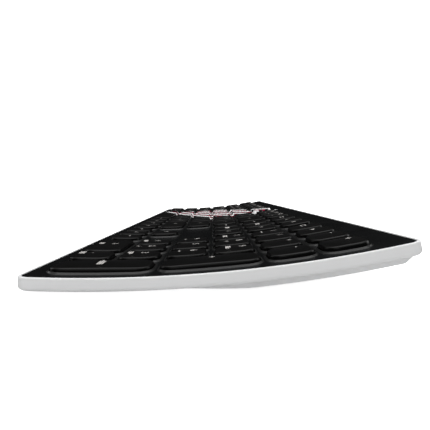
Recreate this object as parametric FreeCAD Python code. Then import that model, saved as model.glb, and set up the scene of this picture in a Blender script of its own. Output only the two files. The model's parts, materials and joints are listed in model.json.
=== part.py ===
import FreeCAD, Part

import math
import os

# A full-size keyboard with a deck that is curved like a shallow dish from front to back.
# Millimetres. +X is the typist's right, +Y is away from the typist, +Z is up, and z = 0 is the desk.
# A place on the deck is given by x, by s, the arc length behind the front of the key field, and by
# n, the height above the deck's top surface along its own normal.
# The deck and the sheets below it lie flat under each row of keys and bend between the rows.

Vector = FreeCAD.Vector

# Key field
KEY_PITCH = 19.05
KEY_GAP = 3.1
KEY_CORNER = 2.8
KEY_HEIGHT = 2.0
KEY_SKIRT = 0.5
KEY_EDGE = 0.7
FIELD_COLUMNS = 22.5
FIELD_ROWS = 6

# Deck
DECK_RADIUS = 500.0
DECK_THICKNESS = 1.2
DECK_CORNER = 3.3
FRONT_SLOPE = -1.83
FRONT_MARGIN = 4.8
REAR_MARGIN = 11.2
SIDE_MARGIN = 4.1
WELL_CLEARANCE = 0.4
LIP_WIDTH = 0.65
LIP_HEIGHT = 0.55
LIP_ROOT = 0.3

# How many flats stand in for a round
CORNER_FACETS = 1
DOME_SIDES = 4
SMALL_SIDES = 8
BARREL_SIDES = 8
LARGE_SIDES = 16

# Lower shell
RIM_WIDTH = 1.2
DECK_CLEARANCE = 0.12
TRAY_DEPTH = 4.6
TRAY_FLOOR = 1.4
TRAY_LEDGE = 1.3
TRAY_CORNER = 4.5
TRAY_EDGE = 1.2

# Raised section under the back
RISER_DEPTH = 6.6
RISER_FRONT = 70.0
RISER_REAR = 120.0
RISER_FRONT_RAMP = 36.0
RISER_REAR_RAMP = 6.0
RISER_INSET = 2.0
RISER_ROOM_HALF = 165.0
RISER_ROOM_REAR = 114.0

# Sheets under the keys
SHEET_INSET = 1.0
MAT_LEVEL = 2.1
MAT_THICKNESS = 0.3
DOME_FOOT = 4.2
DOME_CROWN = 2.3
MEMBRANE_THICKNESS = 0.3
PLATE_THICKNESS = 0.5

# Battery bay
BAY_S = 101.0
BAY_WIDTH = 60.0
BAY_LENGTH = 25.0
BAY_DEPTH = 8.0
BAY_DRAFT = 4.0
BAY_CORNER = 3.0
CELL_RADIUS = 10.0
CELL_THICKNESS = 3.2
CELL_SPACING = 23.0
CELL_CLEARANCE = 0.3
CONTACT_LEVEL = 3.7
CONTACT_WIDTH = 4.0
CONTACT_LENGTH = 17.0
CONTACT_THICKNESS = 0.2
DOOR_WIDTH = 52.0
DOOR_FRONT = -11.3
DOOR_THICKNESS = 0.8
DOOR_TONGUE = 1.0
DOOR_CLEARANCE = 0.1
GRIP_WIDTH = 14.0
GRIP_LENGTH = 1.2
GRIP_INSET = 3.5
GRIP_HEIGHT = 0.4

# Controller board
BOARD_S = 104.8
BOARD_X = -100.0
BOARD_LENGTH = 70.0
BOARD_WIDTH = 16.0
BOARD_THICKNESS = 0.8
CHIP_SIZE = 7.0
CHIP_THICKNESS = 0.5

# Power switch
SLOT_X = 110.0
SLOT_S = 102.0
SLOT_LENGTH = 10.0
SLOT_WIDTH = 4.0
SLOT_DEPTH = 0.9
KNOB_LENGTH = 5.0
KNOB_CLEARANCE = 0.15
RIB_WIDTH = 0.5
RIB_SPACING = 1.3
RIB_HEIGHT = 0.3

# Tilt legs
LEG_S = 100.6
LEG_X = 184.0
LEG_WIDTH = 20.0
LEG_THICKNESS = 2.4
LEG_BARREL = 1.3
LEG_LEAN = 18.0
LEG_SIDE_CLEARANCE = 0.2
PIVOT_DEPTH = 5.0
PIN_RADIUS = 0.8
PIN_LENGTH = 1.6
PIN_CLEARANCE = 0.06
POCKET_LENGTH = 9.9
POCKET_REAR = 1.62
POCKET_ROOF = 3.6
TOE_FRONT = 1.2
TOE_REAR = 2.4
TOE_HEIGHT = 0.9
LEG_PAD_THICKNESS = 0.8

# Rubber pads
PAD_LENGTH = 24.0
PAD_WIDTH = 7.0
PAD_CORNER = 2.0
PAD_EDGE = 0.3
FRONT_PAD_S = 8.0
FRONT_PAD_X = 185.0
FRONT_PAD_HEIGHT = 0.9
REAR_PAD_S = 82.0
REAR_PAD_X = 145.0
REAR_PAD_HEIGHT = 1.4

# Case screws
SCREW_S = 119.5
SCREW_XS = (-200.0, -70.0, 70.0, 200.0)
SCREW_RADIUS = 0.8
SCREW_CLEARANCE = 0.05
HEAD_RADIUS = 1.7
HEAD_HEIGHT = 0.8
HEAD_TOP = -3.6
POST_RADIUS = 2.0

FIELD_WIDTH = FIELD_COLUMNS * KEY_PITCH
FIELD_LENGTH = FIELD_ROWS * KEY_PITCH
DECK_HALF = FIELD_WIDTH / 2 + SIDE_MARGIN
DECK_FRONT = -FRONT_MARGIN
DECK_REAR = FIELD_LENGTH + REAR_MARGIN
TRAY_HALF = DECK_HALF + RIM_WIDTH
TRAY_FRONT = DECK_FRONT - RIM_WIDTH
TRAY_REAR = DECK_REAR + RIM_WIDTH
CAVITY_FLOOR = TRAY_DEPTH - TRAY_FLOOR
MEMBRANE_LEVEL = MAT_LEVEL + MAT_THICKNESS
PLATE_LEVEL = MEMBRANE_LEVEL + MEMBRANE_THICKNESS
CELL_LEVEL = CONTACT_LEVEL + CONTACT_THICKNESS
CELL_XS = (-CELL_SPACING / 2, CELL_SPACING / 2)


def slope(s):
    """Angle of the deck above the desk at s, in degrees."""
    return FRONT_SLOPE + math.degrees(s / DECK_RADIUS)


def arc_centre():
    """Centre of the deck's arc, with the outline's middle over y = 0 and the front pads on the desk."""
    wall_radius = DECK_RADIUS + TRAY_DEPTH - TRAY_EDGE
    front = wall_radius * math.sin(math.radians(slope(TRAY_FRONT)))
    back = wall_radius * math.sin(math.radians(slope(TRAY_REAR)))
    pad_radius = DECK_RADIUS + TRAY_DEPTH
    height = FRONT_PAD_HEIGHT + pad_radius * math.cos(math.radians(slope(FRONT_PAD_S)))
    return Vector(0, -(front + back) / 2, height)


def point(x, s, n):
    """The point at x, s and height n above the deck's surface."""
    angle = math.radians(slope(s))
    radius = DECK_RADIUS - n
    return arc_centre() + Vector(x, radius * math.sin(angle), -radius * math.cos(angle))


def deck_point(x, s, n):
    """Like point, but on the flat strips that the deck is made of."""
    row = math.floor(s / KEY_PITCH)
    mitred = n / math.cos(KEY_PITCH / DECK_RADIUS / 2)
    near = point(x, row * KEY_PITCH, mitred)
    far = point(x, (row + 1) * KEY_PITCH, mitred)
    return near + (far - near) * (s / KEY_PITCH - row)


def moved(shape, origin, angle):
    """A copy of shape with its origin at the given point, tipped back by an angle."""
    tilt = FreeCAD.Rotation(Vector(1, 0, 0), angle)
    copy = shape.copy()
    copy.Placement = FreeCAD.Placement(origin, tilt).multiply(copy.Placement)
    return copy


def placed(shape, x, s):
    """A copy of shape, drawn round the origin, set square to the deck's arc at x and s."""
    return moved(shape, point(x, s, 0), slope(s))


def on_deck(shape, x, s):
    """A copy of shape set square to the deck's flat strip at x and s, or to the bend if it is on one."""
    half_row = KEY_PITCH / 2
    return moved(shape, deck_point(x, s, 0), slope(round(s / half_row) * half_row))


def bends(s0, s1):
    """The ends of a stretch of deck, with the row boundaries between them."""
    inside = [row * KEY_PITCH for row in range(FIELD_ROWS + 1) if s0 < row * KEY_PITCH < s1]
    return [s0, *inside, s1]


def bent_slab(half_width, s0, s1, n0, n1):
    """A slab from s0 to s1 that bends at each row boundary, with its faces at n0 and n1."""
    upper = [deck_point(-half_width, s, n0) for s in bends(s0, s1)]
    lower = [deck_point(-half_width, s, n1) for s in bends(s0, s1)]
    loop = upper + lower[::-1] + upper[:1]
    return Part.Face(Part.makePolygon(loop)).extrude(Vector(2 * half_width, 0, 0))


def curved_slab(half_width, s0, s1, n0, n1, front_ramp=0.0, rear_ramp=0.0):
    """Like bent_slab, with smooth arcs in place of the bends.

    The ramps are how much further the upper face reaches at the front and at the back.
    """
    x = -half_width
    corners = [point(x, s0 - front_ramp, n0), point(x, s1 + rear_ramp, n0), point(x, s1, n1), point(x, s0, n1)]
    middle = (s0 + s1) / 2
    edges = [
        Part.Arc(corners[0], point(x, middle, n0), corners[1]).toShape(),
        Part.makeLine(corners[1], corners[2]),
        Part.Arc(corners[2], point(x, middle, n1), corners[3]).toShape(),
        Part.makeLine(corners[3], corners[0]),
    ]
    return Part.Face(Part.Wire(edges)).extrude(Vector(2 * half_width, 0, 0))


def round_corners(slab, half_width, radius):
    """The slab with the four edges at its corners rounded."""
    found = []
    for edge in slab.Edges:
        ends = [v.Point for v in edge.Vertexes]
        at_side = all(abs(abs(p.x) - half_width) < 1e-6 for p in ends)
        same_side = abs(ends[0].x - ends[-1].x) < 1e-6
        if at_side and same_side and abs(ends[0].z - ends[-1].z) > abs(ends[0].y - ends[-1].y):
            found.append(edge)
    return slab.makeFillet(radius, found)


def lower_loop(body, n):
    """The edges round the body's curved lower face, which lies at height n."""
    for face in body.Faces:
        surface = face.Surface
        if surface.TypeId == "Part::GeomCylinder" and abs(surface.Radius - (DECK_RADIUS - n)) < 1e-6:
            return face.OuterWire.Edges
    return []


def circle_points(radius, sides):
    """Evenly spaced points on a circle, as pairs."""
    angles = [2 * math.pi * i / sides for i in range(sides)]
    return [(radius * math.cos(a), radius * math.sin(a)) for a in angles]


def rounded_points(width, depth, radius):
    """The corners of a rectangle with its corners cut to fit round a radius, as pairs."""
    corners = []
    for quarter, (sx, sy) in enumerate(((1, 1), (-1, 1), (-1, -1), (1, -1))):
        for step in range(CORNER_FACETS + 1):
            angle = math.radians(90 * (quarter + step / CORNER_FACETS))
            x = sx * (width / 2 - radius) + radius * math.cos(angle)
            y = sy * (depth / 2 - radius) + radius * math.sin(angle)
            corners.append((x, y))
    return corners


def flat_face(points):
    """A flat face with the given corners."""
    return Part.Face(Part.makePolygon([*points, points[0]]))


def stack(layers):
    """A closed solid through flat outlines, each given as its pairs and its level."""
    rings = [[Vector(x, y, level) for x, y in pairs] for pairs, level in layers]
    faces = [flat_face(rings[0]), flat_face(rings[-1])]
    for lower, upper in zip(rings, rings[1:]):
        for i in range(len(lower)):
            faces.append(flat_face([lower[i - 1], lower[i], upper[i], upper[i - 1]]))
    solid = Part.makeSolid(Part.makeShell(faces))
    if solid.Volume < 0:
        solid.reverse()
    return solid


def prism(pairs, low, high):
    """A straight prism over an outline, from low to high."""
    return stack([(pairs, low), (pairs, high)])


def bar(pairs, width):
    """A prism whose outline is given in y and z, centred on x = 0."""
    loop = flat_face([Vector(-width / 2, y, z) for y, z in pairs])
    return loop.extrude(Vector(width, 0, 0))


def rod(radius, length):
    """A round rod along x, centred on the origin."""
    return Part.makeCylinder(radius, length, Vector(-length / 2, 0, 0), Vector(1, 0, 0))


def block(width, depth, low, high):
    """A box centred on the origin in plan, from low to high."""
    return Part.makeBox(width, depth, high - low, Vector(-width / 2, -depth / 2, low))


# Each key group is a node: keys given as column, row, width in pitches and depth in rows.
def run(column, row, count):
    """A run of single-width keys side by side."""
    return [(column + i, row, 1.0, 1) for i in range(count)]


def key_groups():
    """Every key of the board, by the node that holds it. Row 0 is nearest the typist."""
    modifier = 1.25
    groups = {
        "keys_modifiers_left": [(i * modifier, 0, modifier, 1) for i in range(3)],
        "key_space": [(3 * modifier, 0, 6.25, 1)],
        "keys_modifiers_right": [(10 + i * modifier, 0, modifier, 1) for i in range(4)],
        "key_shift_left": [(0, 1, 2.25, 1)],
        "keys_z_to_b": run(2.25, 1, 5),
        "keys_n_to_slash": run(7.25, 1, 5),
        "key_shift_right": [(12.25, 1, 2.75, 1)],
        "key_caps_lock": [(0, 2, 1.75, 1)],
        "keys_a_to_g": run(1.75, 2, 5),
        "keys_h_to_quote": run(6.75, 2, 6),
        "key_enter": [(12.75, 2, 2.25, 1)],
        "key_tab": [(0, 3, 1.5, 1)],
        "keys_q_to_t": run(1.5, 3, 5),
        "keys_y_to_backslash": run(6.5, 3, 7) + [(13.5, 3, 1.5, 1)],
        "keys_grave_to_6": run(0, 4, 7),
        "keys_7_to_equals": run(7, 4, 6),
        "key_backspace": [(13, 4, 2.0, 1)],
        "key_escape": run(0, 5, 1),
        "keys_f1_to_f4": run(2, 5, 4),
        "keys_f5_to_f8": run(6.5, 5, 4),
        "keys_f9_to_f12": run(11, 5, 4),
        "keys_system": run(15.25, 5, 3),
        "keys_navigation": run(15.25, 3, 3) + run(15.25, 4, 3),
        "key_arrow_left": run(15.25, 0, 1),
        "key_arrow_down": run(16.25, 0, 1),
        "key_arrow_right": run(17.25, 0, 1),
        "key_arrow_up": run(16.25, 1, 1),
        "keys_media": run(18.5, 5, 4),
        "keypad_lock_divide_times": run(18.5, 4, 3),
        "keypad_minus": run(21.5, 4, 1),
        "keypad_plus": [(21.5, 2, 1.0, 2)],
        "keypad_enter": [(21.5, 0, 1.0, 2)],
        "keypad_0": [(18.5, 0, 2.0, 1)],
        "keypad_point": run(20.5, 0, 1),
    }
    for row in range(3):
        for column in range(3):
            groups[f"keypad_{1 + 3 * row + column}"] = run(18.5 + column, 1 + row, 1)
    return groups


def key_spot(key):
    """A key's centre as x and s, and its width and depth."""
    column, row, wide, deep = key
    x = (column + wide / 2) * KEY_PITCH - FIELD_WIDTH / 2
    s = (row + deep / 2) * KEY_PITCH
    return x, s, wide * KEY_PITCH - KEY_GAP, deep * KEY_PITCH - KEY_GAP


def all_keys():
    """Every key of the board as one list."""
    return [key for group in key_groups().values() for key in group]


def keycap(key):
    """One keycap, with a bevel round its top."""
    x, s, width, depth = key_spot(key)
    foot = rounded_points(width, depth, KEY_CORNER)
    top = rounded_points(width - 2 * KEY_EDGE, depth - 2 * KEY_EDGE, KEY_CORNER - KEY_EDGE)
    cap = stack([(foot, -KEY_SKIRT), (foot, KEY_HEIGHT - KEY_EDGE), (top, KEY_HEIGHT)])
    return on_deck(cap, x, s)


def around_key(key, spread):
    """The outline that stands the given distance outside a keycap."""
    _, _, width, depth = key_spot(key)
    return rounded_points(width + 2 * spread, depth + 2 * spread, KEY_CORNER + spread)


def key_lip(key):
    """The sloping lip that stands round a key's well."""
    x, s, _, _ = key_spot(key)
    spread = LIP_WIDTH * (LIP_HEIGHT + LIP_ROOT) / LIP_HEIGHT
    root = around_key(key, WELL_CLEARANCE + spread)
    crest = around_key(key, WELL_CLEARANCE)
    return on_deck(stack([(root, -LIP_ROOT), (crest, LIP_HEIGHT)]), x, s)


def key_well(key):
    """The hole in the deck that a keycap moves in."""
    x, s, _, _ = key_spot(key)
    return on_deck(prism(around_key(key, WELL_CLEARANCE), -2 * DECK_THICKNESS, 2 * LIP_HEIGHT), x, s)


def top_frame():
    """The black deck: a thin plate with a raised lip round every well and posts for the case screws."""
    plate = bent_slab(DECK_HALF, DECK_FRONT, DECK_REAR, 0, -DECK_THICKNESS)
    plate = round_corners(plate, DECK_HALF, DECK_CORNER)
    post = prism(circle_points(POST_RADIUS, SMALL_SIDES), -CAVITY_FLOOR, -DECK_THICKNESS / 2)
    bore = prism(circle_points(SCREW_RADIUS + SCREW_CLEARANCE, SMALL_SIDES), -TRAY_DEPTH, -DECK_THICKNESS)
    keys = all_keys()
    added = [key_lip(key) for key in keys] + [on_deck(post, x, SCREW_S) for x in SCREW_XS]
    removed = [key_well(key) for key in keys] + [on_deck(bore, x, SCREW_S) for x in SCREW_XS]
    return plate.multiFuse(added).cut(removed)


def tray_outside():
    """The lower shell's outer form before it is hollowed."""
    body = curved_slab(TRAY_HALF, TRAY_FRONT, TRAY_REAR, 0, -TRAY_DEPTH)
    body = round_corners(body, TRAY_HALF, TRAY_CORNER)
    body = body.makeChamfer(TRAY_EDGE, lower_loop(body, -TRAY_DEPTH))
    half = TRAY_HALF - RISER_INSET
    ramps = (RISER_FRONT_RAMP, RISER_REAR_RAMP)
    riser = curved_slab(half, RISER_FRONT, RISER_REAR, -CAVITY_FLOOR, -RISER_DEPTH, *ramps)
    root = rounded_points(BAY_WIDTH + BAY_DRAFT, BAY_LENGTH + BAY_DRAFT, BAY_CORNER + BAY_DRAFT / 2)
    face = rounded_points(BAY_WIDTH, BAY_LENGTH, BAY_CORNER)
    bay = placed(stack([(root, -TRAY_DEPTH), (face, -BAY_DEPTH)]), 0, BAY_S)
    return body.multiFuse([riser, bay])


def tray_hollow():
    """The deck's seat, the space under the keys and the space inside the raised section."""
    fit = DECK_CLEARANCE
    seat = bent_slab(DECK_HALF + fit, DECK_FRONT - fit, DECK_REAR + fit, TRAY_EDGE, -DECK_THICKNESS)
    seat = round_corners(seat, DECK_HALF + fit, DECK_CORNER + fit)
    ledge = TRAY_LEDGE
    space = bent_slab(DECK_HALF - ledge, DECK_FRONT + ledge, DECK_REAR - ledge, 0, -CAVITY_FLOOR)
    low = bent_slab(RISER_ROOM_HALF, RISER_FRONT, RISER_ROOM_REAR, -DECK_THICKNESS, -RISER_DEPTH + TRAY_FLOOR)
    bay_walls = placed(block(BAY_WIDTH, BAY_LENGTH, -BAY_DEPTH, 0), 0, BAY_S)
    slot_walls = block(SLOT_LENGTH + 2 * TRAY_FLOOR, SLOT_WIDTH + 2 * TRAY_FLOOR, -BAY_DEPTH, 0)
    return [seat, space, low.cut([bay_walls, placed(slot_walls, SLOT_X, SLOT_S)])]


def cell_seats():
    """The round seats of the two cells, with room above each for its contact strip."""
    seat = prism(circle_points(CELL_RADIUS + CELL_CLEARANCE, LARGE_SIDES), -2 * BAY_DEPTH, -CONTACT_LEVEL)
    return [placed(seat, x, BAY_S) for x in CELL_XS]


def door_track():
    """The grooves that the battery door slides in, open at the back of the bay."""
    half = DOOR_WIDTH / 2 + DOOR_CLEARANCE
    front = DOOR_FRONT - DOOR_CLEARANCE
    top = DOOR_THICKNESS - BAY_DEPTH + DOOR_CLEARANCE
    low = DOOR_THICKNESS / 2 - BAY_DEPTH - DOOR_CLEARANCE
    length = BAY_LENGTH - front
    groove = Part.makeBox(2 * half, length, top - low, Vector(-half, front, low))
    mouth_half = half - DOOR_TONGUE
    bottom = -2 * BAY_DEPTH
    mouth = Part.makeBox(2 * mouth_half, length, top - bottom, Vector(-mouth_half, front, bottom))
    return [placed(groove, 0, BAY_S), placed(mouth, 0, BAY_S)]


def leg_pocket(side):
    """The pocket that a folded leg lies in, with the holes that its pins turn in."""
    width = LEG_WIDTH + 2 * LEG_SIDE_CLEARANCE
    low = -2 * RISER_DEPTH
    corner = Vector(-width / 2, -POCKET_LENGTH, low)
    space = Part.makeBox(width, POCKET_LENGTH + POCKET_REAR, -POCKET_ROOF - low, corner)
    fit = (PIN_RADIUS + PIN_CLEARANCE) / math.cos(math.pi / BARREL_SIDES)
    holes = bar(circle_points(fit, BARREL_SIDES), width + 2 * PIN_LENGTH)
    holes = holes.translated(Vector(0, 0, -PIVOT_DEPTH))
    return [placed(space, side * LEG_X, LEG_S), placed(holes, side * LEG_X, LEG_S)]


def screw_holes():
    """Stepped holes for the case screws, with a recess for each head."""
    shaft = prism(circle_points(SCREW_RADIUS + SCREW_CLEARANCE, SMALL_SIDES), -2 * TRAY_DEPTH, 0)
    head = prism(circle_points(HEAD_RADIUS + SCREW_CLEARANCE, SMALL_SIDES), -2 * TRAY_DEPTH, HEAD_TOP)
    return [on_deck(tool, x, SCREW_S) for x in SCREW_XS for tool in (shaft, head)]


def base_tray():
    """The white lower shell, with a raised back, a battery bay and two leg pockets."""
    slot = placed(block(SLOT_LENGTH, SLOT_WIDTH, -BAY_DEPTH, SLOT_DEPTH - RISER_DEPTH), SLOT_X, SLOT_S)
    cuts = tray_hollow() + cell_seats() + door_track() + screw_holes() + [slot]
    for side in (-1, 1):
        cuts += leg_pocket(side)
    return tray_outside().cut(cuts)


def sheet(level, thickness):
    """A thin sheet that fills the space under the keys, with its upper face at the given depth."""
    inset = TRAY_LEDGE + SHEET_INSET
    return bent_slab(DECK_HALF - inset, DECK_FRONT + inset, FIELD_LENGTH, -level, -level - thickness)


def dome_mat():
    """The silicone sheet, with a dome under the middle of every key."""
    mat = sheet(MAT_LEVEL, MAT_THICKNESS)
    foot = (circle_points(DOME_FOOT, DOME_SIDES), -MAT_LEVEL)
    crown = (circle_points(DOME_CROWN, DOME_SIDES), -KEY_SKIRT)
    dome = stack([foot, crown])
    spots = [key_spot(key)[:2] for key in all_keys()]
    return [mat] + [on_deck(dome, x, s).cut(mat) for x, s in spots]


def coin_cells():
    """Two coin cells side by side in the battery bay."""
    cell = prism(circle_points(CELL_RADIUS, LARGE_SIDES), -CELL_LEVEL - CELL_THICKNESS, -CELL_LEVEL)
    return [placed(cell, x, BAY_S) for x in CELL_XS]


def battery_contacts():
    """The spring strips that bear on the upper faces of the cells."""
    strip = block(CONTACT_WIDTH, CONTACT_LENGTH, -CELL_LEVEL, -CONTACT_LEVEL)
    return [placed(strip, x, BAY_S) for x in CELL_XS]


def battery_door():
    """The sliding door over the cells, with tongues that run in the bay's grooves and a raised grip."""
    half = DOOR_WIDTH / 2 - DOOR_TONGUE
    length = BAY_LENGTH / 2 - DOOR_FRONT
    plate = Part.makeBox(2 * half, length, DOOR_THICKNESS, Vector(-half, DOOR_FRONT, -BAY_DEPTH))
    tongue_low = DOOR_THICKNESS / 2 - BAY_DEPTH
    tongue_corner = Vector(-DOOR_WIDTH / 2, DOOR_FRONT, tongue_low)
    tongues = Part.makeBox(DOOR_WIDTH, length, DOOR_THICKNESS / 2, tongue_corner)
    grip_corner = Vector(-GRIP_WIDTH / 2, BAY_LENGTH / 2 - GRIP_INSET, -BAY_DEPTH - GRIP_HEIGHT)
    grip = Part.makeBox(GRIP_WIDTH, GRIP_LENGTH, GRIP_HEIGHT, grip_corner)
    return placed(plate.multiFuse([tongues, grip]).removeSplitter(), 0, BAY_S)


def controller_board():
    """The circuit board in the raised section, with its chip on top."""
    low = TRAY_FLOOR - RISER_DEPTH
    top = low + BOARD_THICKNESS
    board = block(BOARD_LENGTH, BOARD_WIDTH, low, top)
    chip = block(CHIP_SIZE, CHIP_SIZE, top, top + CHIP_THICKNESS)
    return on_deck(board.fuse(chip), BOARD_X, BOARD_S)


def power_switch():
    """The switch knob, ribbed for a fingertip, at the off end of its slot."""
    depth = SLOT_WIDTH - 2 * KNOB_CLEARANCE
    top = SLOT_DEPTH - KNOB_CLEARANCE - RISER_DEPTH
    knob = block(KNOB_LENGTH, depth, -RISER_DEPTH, top)
    rib = block(RIB_WIDTH, depth, -RISER_DEPTH - RIB_HEIGHT, -RISER_DEPTH)
    ribs = [rib.translated(Vector(i * RIB_SPACING, 0, 0)) for i in (-1, 0, 1)]
    off = KNOB_CLEARANCE - (SLOT_LENGTH - KNOB_LENGTH) / 2
    return placed(knob.multiFuse(ribs).translated(Vector(off, 0, 0)), SLOT_X, SLOT_S)


def leg_pivot(side):
    """The point on a leg's hinge axis at the middle of its width."""
    return point(side * LEG_X, LEG_S, -PIVOT_DEPTH)


def leg_toe(side):
    """Where the leg's centre line meets the top of its rubber pad, as y and z from the pivot."""
    drop = leg_pivot(side).z - LEG_PAD_THICKNESS
    return drop * math.tan(math.radians(LEG_LEAN)), -drop


def tilt_leg(side):
    """A leg in its open position, leaning back, with its barrel and pins."""
    y, z = leg_toe(side)
    half = LEG_THICKNESS / 2 / math.cos(math.radians(LEG_LEAN))
    blade = bar([
        (-half, 0), (half, 0), (y + half, z + 2 * TOE_HEIGHT), (y + TOE_REAR, z + TOE_HEIGHT),
        (y + TOE_REAR, z), (y - TOE_FRONT, z), (y - TOE_FRONT, z + TOE_HEIGHT),
    ], LEG_WIDTH)
    barrel = bar(circle_points(LEG_BARREL, BARREL_SIDES), LEG_WIDTH)
    pins = rod(PIN_RADIUS, LEG_WIDTH + 2 * PIN_LENGTH)
    return blade.multiFuse([barrel, pins]).translated(leg_pivot(side))


def leg_pad(side):
    """The rubber pad under a leg's toe, flat on the desk."""
    y, z = leg_toe(side)
    low = z - LEG_PAD_THICKNESS
    front = y - TOE_FRONT
    back = y + TOE_REAR
    outline = [
        (front, z), (back, z), (back, low + PAD_EDGE), (back - PAD_EDGE, low), (front + PAD_EDGE, low),
        (front, low + PAD_EDGE),
    ]
    return bar(outline, LEG_WIDTH).translated(leg_pivot(side))


def front_pads():
    """The front pads, cut level with the desk."""
    outline = rounded_points(PAD_LENGTH, PAD_WIDTH, PAD_CORNER)
    pad = prism(outline, -TRAY_DEPTH - 2 * FRONT_PAD_HEIGHT, -TRAY_DEPTH)
    desk = block(2 * TRAY_HALF, 2 * TRAY_REAR, -TRAY_REAR, 0)
    return [placed(pad, side * FRONT_PAD_X, FRONT_PAD_S).cut(desk) for side in (-1, 1)]


def rear_pads():
    """The pads under the raised section that carry the back when the legs are folded."""
    outline = rounded_points(PAD_LENGTH, PAD_WIDTH, PAD_CORNER)
    pad = prism(outline, -RISER_DEPTH - REAR_PAD_HEIGHT, -RISER_DEPTH)
    return [placed(pad, side * REAR_PAD_X, REAR_PAD_S) for side in (-1, 1)]


def case_screws():
    """The screws that hold the deck to the shell, each in one of the deck's posts."""
    head = prism(circle_points(HEAD_RADIUS, SMALL_SIDES), HEAD_TOP - HEAD_HEIGHT, HEAD_TOP)
    shank = prism(circle_points(SCREW_RADIUS, SMALL_SIDES), HEAD_TOP, -DECK_THICKNESS)
    return [on_deck(head.fuse(shank), x, SCREW_S) for x in SCREW_XS]


def solids_of(made):
    """A flat list of the solids in a shape or a list of shapes."""
    shapes = made if isinstance(made, list) else [made]
    return [solid for shape in shapes for solid in shape.Solids]


def nodes():
    """Every named piece of the keyboard."""
    made = {
        "base_tray": base_tray(),
        "top_frame": top_frame(),
        "dome_mat": dome_mat(),
        "membrane_circuit": sheet(MEMBRANE_LEVEL, MEMBRANE_THICKNESS),
        "support_plate": sheet(PLATE_LEVEL, PLATE_THICKNESS),
        "controller_board": controller_board(),
        "coin_cells": coin_cells(),
        "battery_contacts": battery_contacts(),
        "battery_door": battery_door(),
        "power_switch": power_switch(),
        "case_screws": case_screws(),
        "front_pads": front_pads(),
        "rear_pads": rear_pads(),
        "tilt_leg_left": tilt_leg(-1),
        "tilt_leg_right": tilt_leg(1),
        "leg_pad_left": leg_pad(-1),
        "leg_pad_right": leg_pad(1),
    }
    for name, keys in key_groups().items():
        made[name] = [keycap(key) for key in keys]
    return made


def main():
    """Builds every node and writes one STEP file for each."""
    os.makedirs("parts", exist_ok=True)
    for name, made in nodes().items():
        Part.makeCompound(solids_of(made)).exportStep(f"parts/{name}.step")


if __name__ == "__main__":
    main()
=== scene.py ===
import json
import logging
import math
from dataclasses import dataclass, field
from enum import Enum
from typing import Callable, Sequence

import bmesh
import bpy
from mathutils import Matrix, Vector
from mathutils.geometry import delaunay_2d_cdt

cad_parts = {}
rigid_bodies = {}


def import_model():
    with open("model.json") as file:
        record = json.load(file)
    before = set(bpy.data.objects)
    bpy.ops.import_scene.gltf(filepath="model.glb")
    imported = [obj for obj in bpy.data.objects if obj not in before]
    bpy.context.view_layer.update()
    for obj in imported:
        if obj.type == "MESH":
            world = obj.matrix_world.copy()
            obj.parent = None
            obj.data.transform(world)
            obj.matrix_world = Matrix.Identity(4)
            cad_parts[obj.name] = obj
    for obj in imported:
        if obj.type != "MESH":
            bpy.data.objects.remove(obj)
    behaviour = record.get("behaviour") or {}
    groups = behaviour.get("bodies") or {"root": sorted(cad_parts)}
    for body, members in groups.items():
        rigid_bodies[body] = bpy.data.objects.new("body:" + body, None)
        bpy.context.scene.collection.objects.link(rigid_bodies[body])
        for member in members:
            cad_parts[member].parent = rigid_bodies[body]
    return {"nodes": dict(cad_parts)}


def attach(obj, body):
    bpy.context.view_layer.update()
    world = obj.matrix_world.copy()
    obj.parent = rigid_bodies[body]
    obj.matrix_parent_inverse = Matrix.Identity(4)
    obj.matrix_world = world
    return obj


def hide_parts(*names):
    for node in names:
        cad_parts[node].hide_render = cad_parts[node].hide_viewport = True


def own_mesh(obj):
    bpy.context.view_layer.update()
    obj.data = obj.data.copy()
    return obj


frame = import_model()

# A full-size keyboard whose deck is curved like a shallow dish from front to back, in metres.
# A place on the deck is given by x, by s, the arc length behind the front of the key field, and by
# n, the height above the deck's top surface along its own normal.

MM = 0.001
PITCH = 19.05 * MM
GAP = 3.1 * MM
FIELD_COLUMNS = 22.5
FIELD_ROWS = 6
FIELD_WIDTH = FIELD_COLUMNS * PITCH
FIELD_LENGTH = FIELD_ROWS * PITCH

# Places that more than one part needs. SCREW_X alone is in millimetres, because it also names the cutters.
BAY_S = 101 * MM
CELL_X = 11.5 * MM
LEG_X = 184 * MM
LEG_S = 100.6 * MM
SCREW_X = (-200, -70, 70, 200)
SCREW_S = 119.5 * MM

Pair = tuple[float, float]
Box = tuple[float, float, float, float]
Outline = tuple[list[Pair], list[tuple[int, ...]]]
Place = Callable[[float, float, float], Vector]
Colour = tuple[float, float, float, float]

log = logging.getLogger("keyboard")


# Places on the curve


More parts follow.
